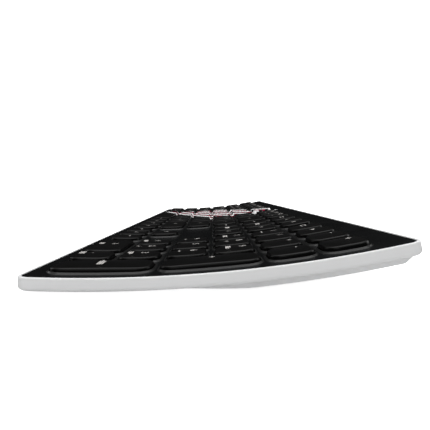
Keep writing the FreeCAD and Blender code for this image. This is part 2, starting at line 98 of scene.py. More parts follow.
@dataclass(frozen=True)
class DeckCurve:
    """The arc that the deck follows from front to back."""

    radius: float = 500 * MM
    front_slope: float = math.radians(-1.83)
    front_edge: float = -6 * MM
    rear_edge: float = 126.7 * MM
    wall_drop: float = 3.4 * MM
    pad_s: float = 8 * MM
    pad_drop: float = 4.6 * MM
    pad_height: float = 0.9 * MM

    def slope(self, s: float) -> float:
        """Angle of the deck above the desk at s, in radians."""
        return self.front_slope + s / self.radius

    def centre(self) -> Pair:
        """The arc's centre, with the outline's middle over y = 0 and the pads on the desk.

        Returns:
            Its y and z.
        """
        wall = self.radius + self.wall_drop
        front = wall * math.sin(self.slope(self.front_edge))
        back = wall * math.sin(self.slope(self.rear_edge))
        level = self.pad_height + (self.radius + self.pad_drop) * math.cos(self.slope(self.pad_s))
        return -(front + back) / 2, level

    def at(self, x: float, s: float, n: float) -> Vector:
        """The point at x, s and height n above the deck.

        Args:
            x: Distance to the typist's right.
            s: Arc length behind the front of the key field.
            n: Height above the deck's top surface.

        Returns:
            The point in the shared frame.
        """
        y, z = self.centre()
        angle = self.slope(s)
        reach = self.radius - n
        return Vector((x, y + reach * math.sin(angle), z - reach * math.cos(angle)))

    def normal(self, s: float) -> Vector:
        """The deck's upward normal at s."""
        return Vector((0, -math.sin(self.slope(s)), math.cos(self.slope(s))))

    def tangent(self, x: float, s: float, lift: float = 0.0) -> Place:
        """A flat frame that touches the deck at one place.

        Args:
            x: Where it touches, across the keyboard.
            s: Where it touches, along the arc.
            lift: How far the frame stands above the arc.

        Returns:
            A function from u, v and height in that frame to the shared frame.
        """
        origin = self.at(x, s, lift)
        back = Vector((0, math.cos(self.slope(s)), math.sin(self.slope(s))))
        up = self.normal(s)
        return lambda u, v, n: origin + Vector((u, 0, 0)) + back * v + up * n


CURVE = DeckCurve()


@dataclass(frozen=True)
class RoundedRect:
    """A rectangle with rounded corners in plan, that can be grown or shrunk and keeps its point count."""

    x: float
    s: float
    width: float
    depth: float
    radius: float
    steps: int = 5
    pitch: float = 4 * MM

    def outline(self, spread: float = 0.0) -> list[Pair]:
        """Points round the rectangle, anticlockwise.

        Args:
            spread: How far outside the rectangle they stand.

        Returns:
            The points as pairs.
        """
        radius = max(self.radius + spread, 0.05 * MM)
        half_w = self.width / 2 + spread - radius
        half_d = self.depth / 2 + spread - radius
        counts = (max(1, round(self.width / self.pitch)), max(1, round(self.depth / self.pitch)))
        corners = ((half_w, half_d), (-half_w, half_d), (-half_w, -half_d), (half_w, -half_d))
        points = []
        for quarter, (cx, cy) in enumerate(corners):
            for step in range(self.steps + 1):
                angle = math.pi / 2 * (quarter + step / self.steps)
                points.append((self.x + cx + radius * math.cos(angle), self.s + cy + radius * math.sin(angle)))
            nx, ny = corners[(quarter + 1) % 4]
            count = counts[quarter % 2]
            turn = math.pi / 2 * (quarter + 1)
            for i in range(1, count):
                share = i / count
                points.append((
                    self.x + cx + (nx - cx) * share + radius * math.cos(turn),
                    self.s + cy + (ny - cy) * share + radius * math.sin(turn),
                ))
        return points

    def scaled(self, spread: float, factor: float) -> list[Pair]:
        """The grown outline, drawn in towards the middle by a factor."""
        return [(self.x + (px - self.x) * factor, self.s + (ps - self.s) * factor) for px, ps in self.outline(spread)]


class Shell:
    """A mesh gathered from rings of points, closed by strips and fills.

    The points that a fill adds stay CLEAR of its spacing away from its rings. MERGE is how near to each
    other, in millimetres, two of its points count as one.
    """

    CLEAR = 0.45
    MERGE = 1e-5

    def __init__(self, place: Place) -> None:
        """Starts an empty mesh.

        Args:
            place: The function that places its pairs.
        """
        self.place = place
        self.points: list[Vector] = []
        self.flat: list[Pair] = []
        self.faces: list[tuple[int, ...]] = []

    def ring(self, pairs: Sequence[Pair], n: float, place: Place | None = None) -> list[int]:
        """Adds one ring of points at one height.

        Args:
            pairs: The ring in plan.
            n: Its height.
            place: Another placing function for this ring, if it has its own.

        Returns:
            The indices of its points.
        """
        put = place or self.place
        first = len(self.points)
        for u, v in pairs:
            self.points.append(put(u, v, n))
            self.flat.append((u, v))
        return list(range(first, len(self.points)))

    def bridge(self, lower: Sequence[int], upper: Sequence[int]) -> None:
        """Joins two rings of the same length by a strip of quads."""
        for i in range(len(lower)):
            self.faces.append((lower[i - 1], lower[i], upper[i], upper[i - 1]))

    def loft(self, rings: Sequence[Sequence[int]]) -> None:
        """Joins a row of rings one after another."""
        for lower, upper in zip(rings, rings[1:]):
            self.bridge(lower, upper)

    def rings(self, rect: RoundedRect, levels: Sequence[Pair], place: Place | None = None) -> list[list[int]]:
        """Adds a ring of one plan at each level, which gives its spread outside the plan and its height."""
        return [self.ring(rect.outline(spread), n, place) for spread, n in levels]

    def solid(self, rings: Sequence[Sequence[int]]) -> None:
        """Joins a row of rings and closes both of its ends.

        Args:
            rings: The rings, from one end to the other.
        """
        self.loft(rings)
        self.close(rings[0])
        self.close(rings[-1])

    def fill(self, outer: Sequence[int], holes: Sequence[Sequence[int]], n: float, pitch: float,
             place: Place | None = None) -> None:
        """Fills the space between an outer ring and its holes with triangles.

        Args:
            outer: The ring round the outside, which is convex.
            holes: The convex rings of the holes.
            n: Height of the points added inside.
            pitch: Spacing of the points added inside.
            place: Another placing function, if the surface has its own.
        """
        rings = [list(outer), *[list(hole) for hole in holes]]
        margin = pitch * self.CLEAR
        boxes = [self.reach(hole, margin) for hole in holes]
        extra = self.ring(self.grid(self.reach(outer, -margin), boxes, pitch), n, place)
        known = [i for ring in rings for i in ring] + extra
        local = {index: i for i, index in enumerate(known)}
        owner = {index: k for k, ring in enumerate(rings) for index in ring}
        edges = [(local[ring[i - 1]], local[ring[i]]) for ring in rings for i in range(len(ring))]
        spots = [Vector((self.flat[i][0] / MM, self.flat[i][1] / MM)) for i in known]
        _, _, found, origins, _, _ = delaunay_2d_cdt(spots, edges, [], 0, self.MERGE)
        for triangle in found:
            corners = [known[origins[i][0]] for i in triangle]
            owners = {owner.get(i, -1) for i in corners}
            if len(owners) > 1 or owners in ({-1}, {0}):
                self.faces.append(tuple(corners))

    def reach(self, ring: Sequence[int], margin: float) -> Box:
        """The plan box of a ring.

        Args:
            ring: The ring.
            margin: How far the box is grown.

        Returns:
            The box, as its limits.
        """
        us = [self.flat[i][0] for i in ring]
        vs = [self.flat[i][1] for i in ring]
        return min(us) - margin, max(us) + margin, min(vs) - margin, max(vs) + margin

    def grid(self, box: Box, gaps: Sequence[Box], pitch: float) -> list[Pair]:
        """Evenly spaced points inside a box and outside every gap.

        Args:
            box: The box to fill, as its limits.
            gaps: Boxes to keep clear.
            pitch: The spacing.

        Returns:
            The points as pairs.
        """
        low_u, high_u, low_v, high_v = box
        across = max(1, round((high_u - low_u) / pitch))
        along = max(1, round((high_v - low_v) / pitch))
        points = []
        for i in range(across + 1):
            for j in range(along + 1):
                u = low_u + (high_u - low_u) * i / across
                v = low_v + (high_v - low_v) * j / along
                if not any(a < u < b and c < v < d for a, b, c, d in gaps):
                    points.append((u, v))
        return points

    def close(self, ring: Sequence[int]) -> None:
        """Closes a ring with one face."""
        self.faces.append(tuple(ring))

    def piece(self, name: str, sharp: float = 32.0) -> bpy.types.Object:
        """Makes the gathered mesh an object with smooth rounds and crisp edges.

        Args:
            name: The object's name.
            sharp: Edges that turn by more than this many degrees stay crisp.

        Returns:
            The new object.
        """
        mesh = bpy.data.meshes.new(name)
        mesh.from_pydata([tuple(p) for p in self.points], [], self.faces)
        made = link_object(name, mesh)
        smooth(made, sharp)
        return made


def link_object(name: str, data: bpy.types.ID) -> bpy.types.Object:
    """Makes an object and links it to the scene.

    Args:
        name: Its name.
        data: Its mesh, letters, light or camera.

    Returns:
        The object.
    """
    made = bpy.data.objects.new(name, data)
    bpy.context.scene.collection.objects.link(made)
    return made


def evaluated_mesh(made: bpy.types.Object) -> bpy.types.Mesh:
    """An object's mesh as its modifiers or its letters make it.

    Args:
        made: The object.

    Returns:
        A new mesh.
    """
    bpy.context.view_layer.update()
    found = made.evaluated_get(bpy.context.evaluated_depsgraph_get())
    return bpy.data.meshes.new_from_object(found)


def smooth(piece: bpy.types.Object, sharp: float = 32.0) -> None:
    """Turns a mesh's faces outwards and shades it smooth between its crisp edges.

    Args:
        piece: The mesh object.
        sharp: Edges that turn by more than this many degrees stay crisp.
    """
    work = bmesh.new()
    work.from_mesh(piece.data)
    loose = [v for v in work.verts if not v.link_faces]
    bmesh.ops.delete(work, geom=loose, context="VERTS")
    bmesh.ops.recalc_face_normals(work, faces=work.faces)
    for face in work.faces:
        face.smooth = True
    limit = math.radians(sharp)
    for edge in work.edges:
        edge.smooth = len(edge.link_faces) == 2 and edge.calc_face_angle(0.0) < limit
    work.to_mesh(piece.data)
    work.free()
    piece.data.update()


def millimetres(pairs: Sequence[Pair]) -> list[Pair]:
    """Pairs that are written in millimetres, in metres."""
    return [(a * MM, b * MM) for a, b in pairs]


def circle(radius: float, sides: int, x: float = 0.0) -> list[Pair]:
    """Points evenly spaced round a circle whose middle is at x."""
    turns = [2 * math.pi * i / sides for i in range(sides)]
    return [(x + radius * math.cos(turn), radius * math.sin(turn)) for turn in turns]


def lathe(shell: Shell, profile: Sequence[Pair], place: Place, x: float = 0.0, sides: int = 48) -> None:
    """Adds a turned form that stands x to the side, with its radii and heights in profile."""
    shell.solid([shell.ring(circle(radius, sides, x), n, place) for radius, n in profile])


def put(piece: bpy.types.Object, finish: "Finish", node: str, body: str = "case", slot: str = "") -> None:
    """Puts a finished piece in the place of its CAD node.

    Args:
        piece: The piece.
        finish: Its material.
        node: The CAD node that it replaces.
        body: The body that it rides on.
        slot: Not used.
    """
    finish.dress(piece)
    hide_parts(node)
    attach(piece, body)
    slot or node


def arc_steps(radius_u: float, radius_n: float, count: int) -> list[Pair]:
    """Offsets round a quarter turn from a wall to a top, as inset and drop."""
    angles = [math.pi / 2 * i / count for i in range(count + 1)]
    return [(radius_u * (1 - math.cos(a)), radius_n * (1 - math.sin(a))) for a in angles]


# Finishes


class Graph:
    """A node tree that is being filled in."""

    def __init__(self, tree: bpy.types.NodeTree) -> None:
        """Starts with an existing tree."""
        self.tree = tree

    def add(self, kind: str, inputs: dict | None = None, **settings: object) -> bpy.types.Node:
        """Adds a node.

        Args:
            kind: The node's type name.
            inputs: Values or sockets for its inputs, by name or number.
            settings: Its own settings.

        Returns:
            The node.
        """
        node = self.tree.nodes.new(kind)
        for name, value in settings.items():
            setattr(node, name, value)
        for name, value in (inputs or {}).items():
            self.put(node.inputs[name], value)
        return node

    def put(self, socket: bpy.types.NodeSocket, value: object) -> None:
        """Links a socket to an input, or sets the input's own value.

        Args:
            socket: The input.
            value: The socket or the value.
        """
        if isinstance(value, bpy.types.NodeSocket):
            self.tree.links.new(value, socket)
        else:
            socket.default_value = value

    def maths(self, operation: str, first: object, second: object = 0.0) -> bpy.types.NodeSocket:
        """A Math node's result."""
        return self.add("ShaderNodeMath", {0: first, 1: second}, operation=operation).outputs[0]

    def mix(self, share: object, first: object, second: object) -> bpy.types.NodeSocket:
        """A colour mixed from two.

        Args:
            share: How much of the second there is.
            first: The first colour.
            second: The second colour.

        Returns:
            The mixed colour's socket.
        """
        node = self.add("ShaderNodeMix", data_type="RGBA")
        for name, value in (("Factor_Float", share), ("A_Color", first), ("B_Color", second)):
            self.put(next(s for s in node.inputs if s.identifier == name), value)
        return next(s for s in node.outputs if s.identifier == "Result_Color")

    def span(self, value: object, low: float, high: float, start: float = 0.0,
             end: float = 1.0) -> bpy.types.NodeSocket:
        """A value between low and high, carried over to the span from start to end and held within it."""
        return self.add("ShaderNodeMapRange", {0: value, 1: low, 2: high, 3: start, 4: end}, clamp=True).outputs[0]

    def band(self, value: object, low: float, high: float, blur: float) -> bpy.types.NodeSocket:
        """A mask that is 1 where a value lies between two limits.

        Args:
            value: The socket that is tested.
            low: The lower limit.
            high: The upper limit.
            blur: Half the width of its soft edges.

        Returns:
            The mask's socket.
        """
        rise = self.span(value, low - blur, low + blur)
        fall = self.span(value, high - blur, high + blur)
        return self.maths("SUBTRACT", rise, fall)

    def where(self) -> bpy.types.NodeSocket:
        """The place on the object."""
        return self.add("ShaderNodeTexCoord").outputs["Object"]

    def noise(self, where: object, scale: object, detail: float) -> bpy.types.NodeSocket:
        """A Noise texture's value."""
        return self.add("ShaderNodeTexNoise", {"Vector": where, "Scale": scale, "Detail": detail}).outputs["Fac"]

    def cells(self, where: object, scale: object) -> bpy.types.NodeSocket:
        """The distance to the nearest point of a Voronoi texture."""
        return self.add("ShaderNodeTexVoronoi", {"Vector": where, "Scale": scale}).outputs["Distance"]

    def given(self, name: str) -> bpy.types.NodeSocket:
        """An input of the group that this graph fills in."""
        return self.tree.nodes["in"].outputs[name]

    def give(self, name: str, value: object) -> None:
        """Sets an output of the group that this graph fills in."""
        self.put(self.tree.nodes["out"].inputs[name], value)


def empty_graph(owner: bpy.types.Material | bpy.types.World) -> Graph:
    """The cleared node tree of a new material or backdrop.

    Args:
        owner: The material or backdrop.

    Returns:
        Its graph.
    """
    owner.use_nodes = True
    owner.node_tree.nodes.clear()
    return Graph(owner.node_tree)


class Effect(Enum):
    """The shared surface effects."""

    GRAIN = "moulded_grain"
    DUST = "settled_dust"
    POLISH = "touch_polish"
    STRIPES = "printed_stripes"


SOCKETS = {float: "NodeSocketFloat", tuple: "NodeSocketColor"}
BLACK = (0.02, 0.02, 0.02, 1)


def new_group(effect: Effect, inputs: dict[str, float | Colour], outputs: dict[str, type]) -> Graph:
    """Starts a shader node group.

    Args:
        effect: Which effect it is, which names it.
        inputs: Each input's value, a number or a colour, by name.
        outputs: Whether each output is a number or a colour, by name.

    Returns:
        The group's graph, with its input and output nodes called in and out.
    """
    tree = bpy.data.node_groups.new(effect.value, "ShaderNodeTree")
    for name, value in inputs.items():
        tree.interface.new_socket(name, in_out="INPUT", socket_type=SOCKETS[type(value)]).default_value = value
    for name, kind in outputs.items():
        tree.interface.new_socket(name, in_out="OUTPUT", socket_type=SOCKETS[kind])
    graph = Graph(tree)
    graph.add("NodeGroupInput", name="in")
    graph.add("NodeGroupOutput", name="out")
    return graph


@dataclass(frozen=True)
class Grain:
    """The fine texture of a moulded surface, and the slow change of shade across it."""

    pits: float = 0.6
    fine_detail: float = 2.0
    slow_scale: float = 24.0
    slow_detail: float = 4.0

    def make(self) -> None:
        """Builds the node group."""
        graph = new_group(Effect.GRAIN, {"Scale": 3000.0, "Unevenness": 0.5}, {"Height": float, "Shade": float})
        where = graph.where()
        pits = graph.maths("MULTIPLY", graph.cells(where, graph.given("Scale")), self.pits)
        graph.give("Height", graph.maths("ADD", pits, graph.noise(where, graph.given("Scale"), self.fine_detail)))
        swing = graph.maths("SUBTRACT", graph.noise(where, self.slow_scale, self.slow_detail), 0.5)
        graph.give("Shade", graph.maths("ADD", graph.maths("MULTIPLY", swing, graph.given("Unevenness")), 0.5))


@dataclass(frozen=True)
class Dust:
    """A thin scatter of dust specks, in patches, that lightens a colour."""

    speck_edge: Pair = (0.16, 0.06)
    patch_scale: float = 90.0
    patch_detail: float = 3.0
    patch_edge: Pair = (0.5, 0.75)

    def make(self) -> None:
        """Builds the node group."""
        inputs = {"Colour": BLACK, "Dust": (0.4, 0.39, 0.37, 1), "Density": 0.3, "Scale": 900.0}
        graph = new_group(Effect.DUST, inputs, {"Colour": tuple, "Specks": float})
        where = graph.where()
        dots = graph.span(graph.cells(where, graph.given("Scale")), *self.speck_edge)
        patches = graph.span(graph.noise(where, self.patch_scale, self.patch_detail), *self.patch_edge)
        specks = graph.maths("MULTIPLY", graph.maths("MULTIPLY", dots, patches), graph.given("Density"))
        graph.give("Colour", graph.mix(specks, graph.given("Colour"), graph.given("Dust")))
        graph.give("Specks", specks)


@dataclass(frozen=True)
class Polish:
    """The roughness of a surface that hands have polished in patches."""

    detail: float = 5.0

    def make(self) -> None:
        """Builds the node group."""
        graph = new_group(Effect.POLISH, {"Roughness": 0.5, "Polish": 0.1, "Scale": 60.0}, {"Roughness": float})
        smears = graph.maths("SUBTRACT", graph.noise(graph.where(), graph.given("Scale"), self.detail), 0.5)
        swing = graph.maths("MULTIPLY", smears, graph.given("Polish"))
        graph.give("Roughness", graph.maths("ADD", graph.given("Roughness"), swing))


@dataclass(frozen=True)
class StripePrint:
    """Evenly spaced slanting bars, wide white and narrow crimson by turns, printed over deck and keys."""

    slant: float = 0.5
    shift: float = -32 * MM
    blur: float = 0.12 * MM
    steps: range = range(-4, 5)
    spacing: float = 7 * MM
    white: float = 5 * MM
    crimson: float = 2 * MM
    start: float = -120 * MM
    end: float = -10 * MM

    def make(self) -> None:
        """Builds the node group, which prints the bars over a colour."""
        inputs = {"Colour": BLACK, "White": (0.95, 0.95, 0.95, 1), "Crimson": (0.5, 0.01, 0.07, 1)}
        graph = new_group(Effect.STRIPES, inputs, {"Colour": tuple, "Print": float})
        axes = graph.add("ShaderNodeSeparateXYZ", {0: graph.where()}).outputs
        lean = graph.maths("SUBTRACT", axes["Y"], graph.maths("MULTIPLY", axes["X"], self.slant))
        across = graph.maths("ADD", lean, self.shift)
        along = graph.band(axes["X"], self.start, self.end, self.blur)
        masks = []
        for first, width in ((0, self.white), (1, self.crimson)):
            mask = 0.0
            for step in self.steps[first::2]:
                middle = step * self.spacing
                bar = graph.band(across, middle - width / 2, middle + width / 2, self.blur)
                mask = graph.maths("MAXIMUM", mask, graph.maths("MULTIPLY", bar, along))
            masks.append(mask)
        white = graph.mix(masks[0], graph.given("Colour"), graph.given("White"))
        graph.give("Colour", graph.mix(masks[1], white, graph.given("Crimson")))
        graph.give("Print", graph.maths("MAXIMUM", *masks))


@dataclass(frozen=True)
class Finish:
    """One material, with its own values for the shared effects."""

    name: str
    colour: Colour
    second: Colour
    roughness: float
    polish: float = 0.1
    grain_scale: float = 3000.0
    grain_depth: float = 0.02 * MM
    unevenness: float = 0.6
    dust: float = 0.0
    metallic: float = 0.0
    specular: float = 0.5
    coat: float = 0.0
    printed: bool = False

    def effect(self, graph: Graph, effect: Effect, inputs: dict) -> bpy.types.Node:
        """Places one shared effect in the material.

        Args:
            graph: The material's graph.
            effect: The effect.
            inputs: Its values, by name.

        Returns:
            The group node.
        """
        node = graph.add("ShaderNodeGroup", node_tree=bpy.data.node_groups[effect.value])
        for name, value in inputs.items():
            graph.put(node.inputs[name], value)
        return node

    def material(self) -> bpy.types.Material:
        """The material, made the first time that it is asked for.

        Returns:
            The material.
        """
        if self.name in bpy.data.materials:
            return bpy.data.materials[self.name]
        made = bpy.data.materials.new(self.name)
        graph = empty_graph(made)
        grain = self.effect(graph, Effect.GRAIN, {"Scale": self.grain_scale, "Unevenness": self.unevenness})
        colour = graph.mix(grain.outputs["Shade"], self.colour, self.second)
        if self.printed:
            colour = self.effect(graph, Effect.STRIPES, {"Colour": colour}).outputs["Colour"]
        if self.dust:
            colour = self.effect(graph, Effect.DUST, {"Colour": colour, "Density": self.dust}).outputs["Colour"]
        polish = self.effect(graph, Effect.POLISH, {"Roughness": self.roughness, "Polish": self.polish})
        bump = graph.add("ShaderNodeBump", {
            "Height": grain.outputs["Height"], "Distance": self.grain_depth, "Strength": 1.0,
        })
        surface = graph.add("ShaderNodeBsdfPrincipled", {
            "Base Color": colour, "Roughness": polish.outputs["Roughness"], "Normal": bump.outputs["Normal"],
            "Metallic": self.metallic, "Specular IOR Level": self.specular, "Coat Weight": self.coat,
        })
        graph.add("ShaderNodeOutputMaterial", {"Surface": surface.outputs["BSDF"]})
        return made

    def dress(self, piece: bpy.types.Object) -> None:
        """Puts the material on a mesh object."""
        piece.data.materials.clear()
        piece.data.materials.append(self.material())


def grey(value: float, warmth: float = 0.0) -> Colour:
    """A grey, a little warm if warmth is above 0 and cool if it is below."""
    return (value * (1 + warmth), value, value * (1 - warmth), 1.0)


KEY_PLASTIC = Finish("key_plastic", grey(0.0015), grey(0.0032), 0.30, 0.08, 4500, 0.006 * MM, dust=0.03,
                     specular=0.12, printed=True)
DECK_PLASTIC = Finish("deck_plastic", grey(0.002, -0.1), grey(0.004, -0.1), 0.25, 0.08, 2600, 0.004 * MM, dust=0.04,
                      specular=0.20, printed=True)
# Painted highlight: the lips' base colour is lighter than the deck's, standing in for the light that their rounded
# faces catch.
LIP_HIGHLIGHT_PLASTIC = Finish("worn_lip", grey(0.013), grey(0.020), 0.22, 0.10, 2600, 0.004 * MM, dust=0.04, specular=0.2,
                     printed=True)
WHITE_PLASTIC = Finish("white_plastic", grey(0.79, -0.006), grey(0.74, -0.002), 0.34, 0.06, 1800, 0.004 * MM)
LEGEND_INK = Finish("legend_ink", grey(0.52, 0.03), grey(0.38, 0.05), 0.55, 0.05, 6000, 0.004 * MM)
RUBBER = Finish("rubber", grey(0.022), grey(0.035), 0.75, 0.10, 2200, 0.03 * MM, dust=0.4)
PALE_RUBBER = Finish("pale_rubber", grey(0.42, 0.12), grey(0.34, 0.12), 0.65, 0.10, 2200, 0.02 * MM, dust=0.2)
GREY_PLASTIC = Finish("grey_plastic", grey(0.10), grey(0.13), 0.45, 0.08, 2500, 0.012 * MM, dust=0.2)
SILICONE = Finish("silicone", grey(0.45), grey(0.55), 0.5, 0.1, 900, 0.02 * MM)
FILM = Finish("circuit_film", (0.35, 0.42, 0.45, 1), (0.45, 0.50, 0.50, 1), 0.2, 0.1, 400, 0.01 * MM)
STEEL = Finish("bright_steel", grey(0.55), grey(0.68), 0.28, 0.12, 1200, 0.008 * MM, metallic=1.0)
DARK_STEEL = Finish("blackened_screw", grey(0.10), grey(0.16), 0.35, 0.1, 2500, 0.01 * MM, metallic=1.0)
BOARD = Finish("solder_mask", (0.01, 0.10, 0.04, 1), (0.015, 0.14, 0.05, 1), 0.3, 0.1, 700, 0.015 * MM)


# Keys


@dataclass(frozen=True)
class Key:
    """One key: its place in pitches and rows, and what is printed on it."""

    column: float
    row: float
    wide: float = 1.0
    deep: int = 1
    upper: str = ""
    lower: str = ""

    def rect(self, corner: float, x: float = 0, s: float = 0) -> RoundedRect:
        """The keycap's foot in plan, round the given place."""
        return RoundedRect(x, s, self.wide * PITCH - GAP, self.deep * PITCH - GAP, corner)

    def centre(self) -> Pair:
        """The keycap's centre as x and s."""
        return (self.column + self.wide / 2) * PITCH - FIELD_WIDTH / 2, (self.row + self.deep / 2) * PITCH

    def place(self) -> Place:
        """The frame that the keycap stands in, on the flat strip under its row."""
        lift = PITCH * PITCH / (8 * CURVE.radius) if self.deep == 1 else 0.0
        return CURVE.tangent(*self.centre(), lift)


def run(column: float, row: int, upper: Sequence[str], lower: Sequence[str] = ()) -> list[Key]:
    """A run of single-width keys side by side.

    Args:
        column: Where the first one starts.
        row: Their row.
        upper: What is printed towards the back of each.
        lower: What is printed towards the front of each.

    Returns:
        The keys.
    """
    second = list(lower) + [""] * (len(upper) - len(lower))
    return [Key(column + i, row, upper=mark, lower=second[i]) for i, mark in enumerate(upper)]


def key_groups() -> dict[str, list[Key]]:
    """Every key of the board.

    Returns:
        The keys, by the CAD node that they belong to.
    """
    side = 1.25
    groups = {
        "keys_modifiers_left": [
            Key(i * side, 0, side, upper=m) for i, m in enumerate(("<ring>", "<diamond>", "<dash>"))
        ],
        "key_space": [Key(3 * side, 0, 6.25)],
        "keys_modifiers_right": [
            Key(10 + i * side, 0, side, upper=m) for i, m in enumerate(("<dash>", "<diamond>", "<list>", "<ring>"))
        ],
        "key_shift_left": [Key(0, 1, 2.25, upper="<shift>")],
        "keys_z_to_b": run(2.25, 1, "ZXCVB"),
        "keys_n_to_slash": run(7.25, 1, "NM,./"),
        "key_shift_right": [Key(12.25, 1, 2.75, upper="<shift>")],
        "key_caps_lock": [Key(0, 2, 1.75, upper="<caps>")],
        "keys_a_to_g": run(1.75, 2, "ASDFG"),
        "keys_h_to_quote": run(6.75, 2, "HJKL;'"),
        "key_enter": [Key(12.75, 2, 2.25, upper="<return>")],
        "key_tab": [Key(0, 3, 1.5, upper="<tab>")],
        "keys_q_to_t": run(1.5, 3, "QWERT"),
        "keys_y_to_backslash": run(6.5, 3, "YUIOP[]") + [Key(13.5, 3, 1.5, upper="\\")],
        "keys_grave_to_6": run(0, 4, "`123456", "~!@#$%^"),
        "keys_7_to_equals": run(7, 4, "7890-=", "&*()_+"),
        "key_backspace": [Key(13, 4, 2.0, upper="<left>")],
        "key_escape": run(0, 5, ["<ring>"]),
        "keys_f1_to_f4": run(2, 5, ["F1", "F2", "F3", "F4"], ["<dot>"] * 4),
        "keys_f5_to_f8": run(6.5, 5, ["F5", "F6", "F7", "F8"], ["<dot>"] * 4),
        "keys_f9_to_f12": run(11, 5, ["F9", "F10", "F11", "F12"], ["<dot>"] * 4),
        "keys_system": run(15.25, 5, ["<frame>", "<down>", "<pause>"]),
        "keys_navigation": run(15.25, 3, ["<dash>", "<end>", "<down>"]) + run(15.25, 4, ["<dot>", "<home>", "<up>"]),
        "key_arrow_left": run(15.25, 0, ["<left>"]),
        "key_arrow_down": run(16.25, 0, ["<down>"]),
        "key_arrow_right": run(17.25, 0, ["<right>"]),
        "key_arrow_up": run(16.25, 1, ["<up>"]),
        "keys_media": run(18.5, 5, ["<frame>", "<play>", "-", "+"]),
        "keypad_lock_divide_times": run(18.5, 4, ["1", "/", "*"], ["<dash>"]),
        "keypad_minus": run(21.5, 4, "-"),
        "keypad_plus": [Key(21.5, 2, 1.0, 2, upper="+")],
        "keypad_enter": [Key(21.5, 0, 1.0, 2, upper="<enter>")],
        "keypad_0": [Key(18.5, 0, 2.0, upper="0", lower="<insert>")],
        "keypad_point": run(20.5, 0, ".", ["<insert>"]),
    }
    lower = ("<end>", "<down>", "<pgdn>", "<left>", "", "<right>", "<home>", "<up>", "<pgup>")
    for i, mark in enumerate(lower):
        groups[f"keypad_{i + 1}"] = run(18.5 + i % 3, 1 + i // 3, str(i + 1), [mark])
    return groups


@dataclass(frozen=True)
class Keycap:
    """The form of every keycap: upright sides, a round edge and a shallow dish in the top."""

    corner: float = 4.6 * MM
    skirt: float = 0.5 * MM
    height: float = 2.0 * MM
    edge: float = 0.8 * MM
    draft: float = 0.12 * MM
    dish: float = 0.2 * MM
    dish_reach: float = 1.6
    lean: float = 0.1 * MM
    shoulder: float = 0.12 * MM
    shares: tuple[float, ...] = (0.975, 0.86, 0.66, 0.42, 0.2)

    def top(self, key: Key, u: float, v: float) -> float:
        """Height of the dished top above the deck.

        Args:
            key: The key.
            u: Distance right of its centre.
            v: Distance behind its centre.

        Returns:
            The height.
        """
        rect = key.rect(self.corner)
        half_w = rect.width / 2 - self.edge - self.draft
        half_d = rect.depth / 2 - self.edge - self.draft
        hollow = max(0.0, 1 - (u / half_w) ** 2) * max(0.0, 1 - (v / half_d) ** 2)
        return self.height - self.dish * min(1.0, self.dish_reach * hollow)

    def add(self, key: Key, shell: Shell) -> None:
        """Adds one keycap to a mesh.

        Args:
            key: The key.
            shell: The mesh, whose rings the key places itself.
        """
        place = key.place()
        rect = key.rect(self.corner)
        rings = shell.rings(rect, ((-self.lean, -self.skirt), (0.0, -self.skirt + self.lean)), place)
        if key.deep > 1:
            for index in rings[0] + rings[1]:
                v = shell.flat[index][1]
                shell.points[index] += (place(0, 0, 1) - place(0, 0, 0)) * v * v / (2 * CURVE.radius)
        levels = [(-self.draft * 0.9, self.height - self.edge - self.shoulder)]
        levels += [(-self.draft - inset, self.height - drop) for inset, drop in arc_steps(self.edge, self.edge, 4)]
        rings += shell.rings(rect, levels, place)
        for share in self.shares:
            pairs = rect.scaled(-self.draft - self.edge, share)
            rings.append(shell.ring(pairs, 0.0, lambda u, v, n: place(u, v, self.top(key, u, v))))
        shell.solid(rings)


# Printed marks


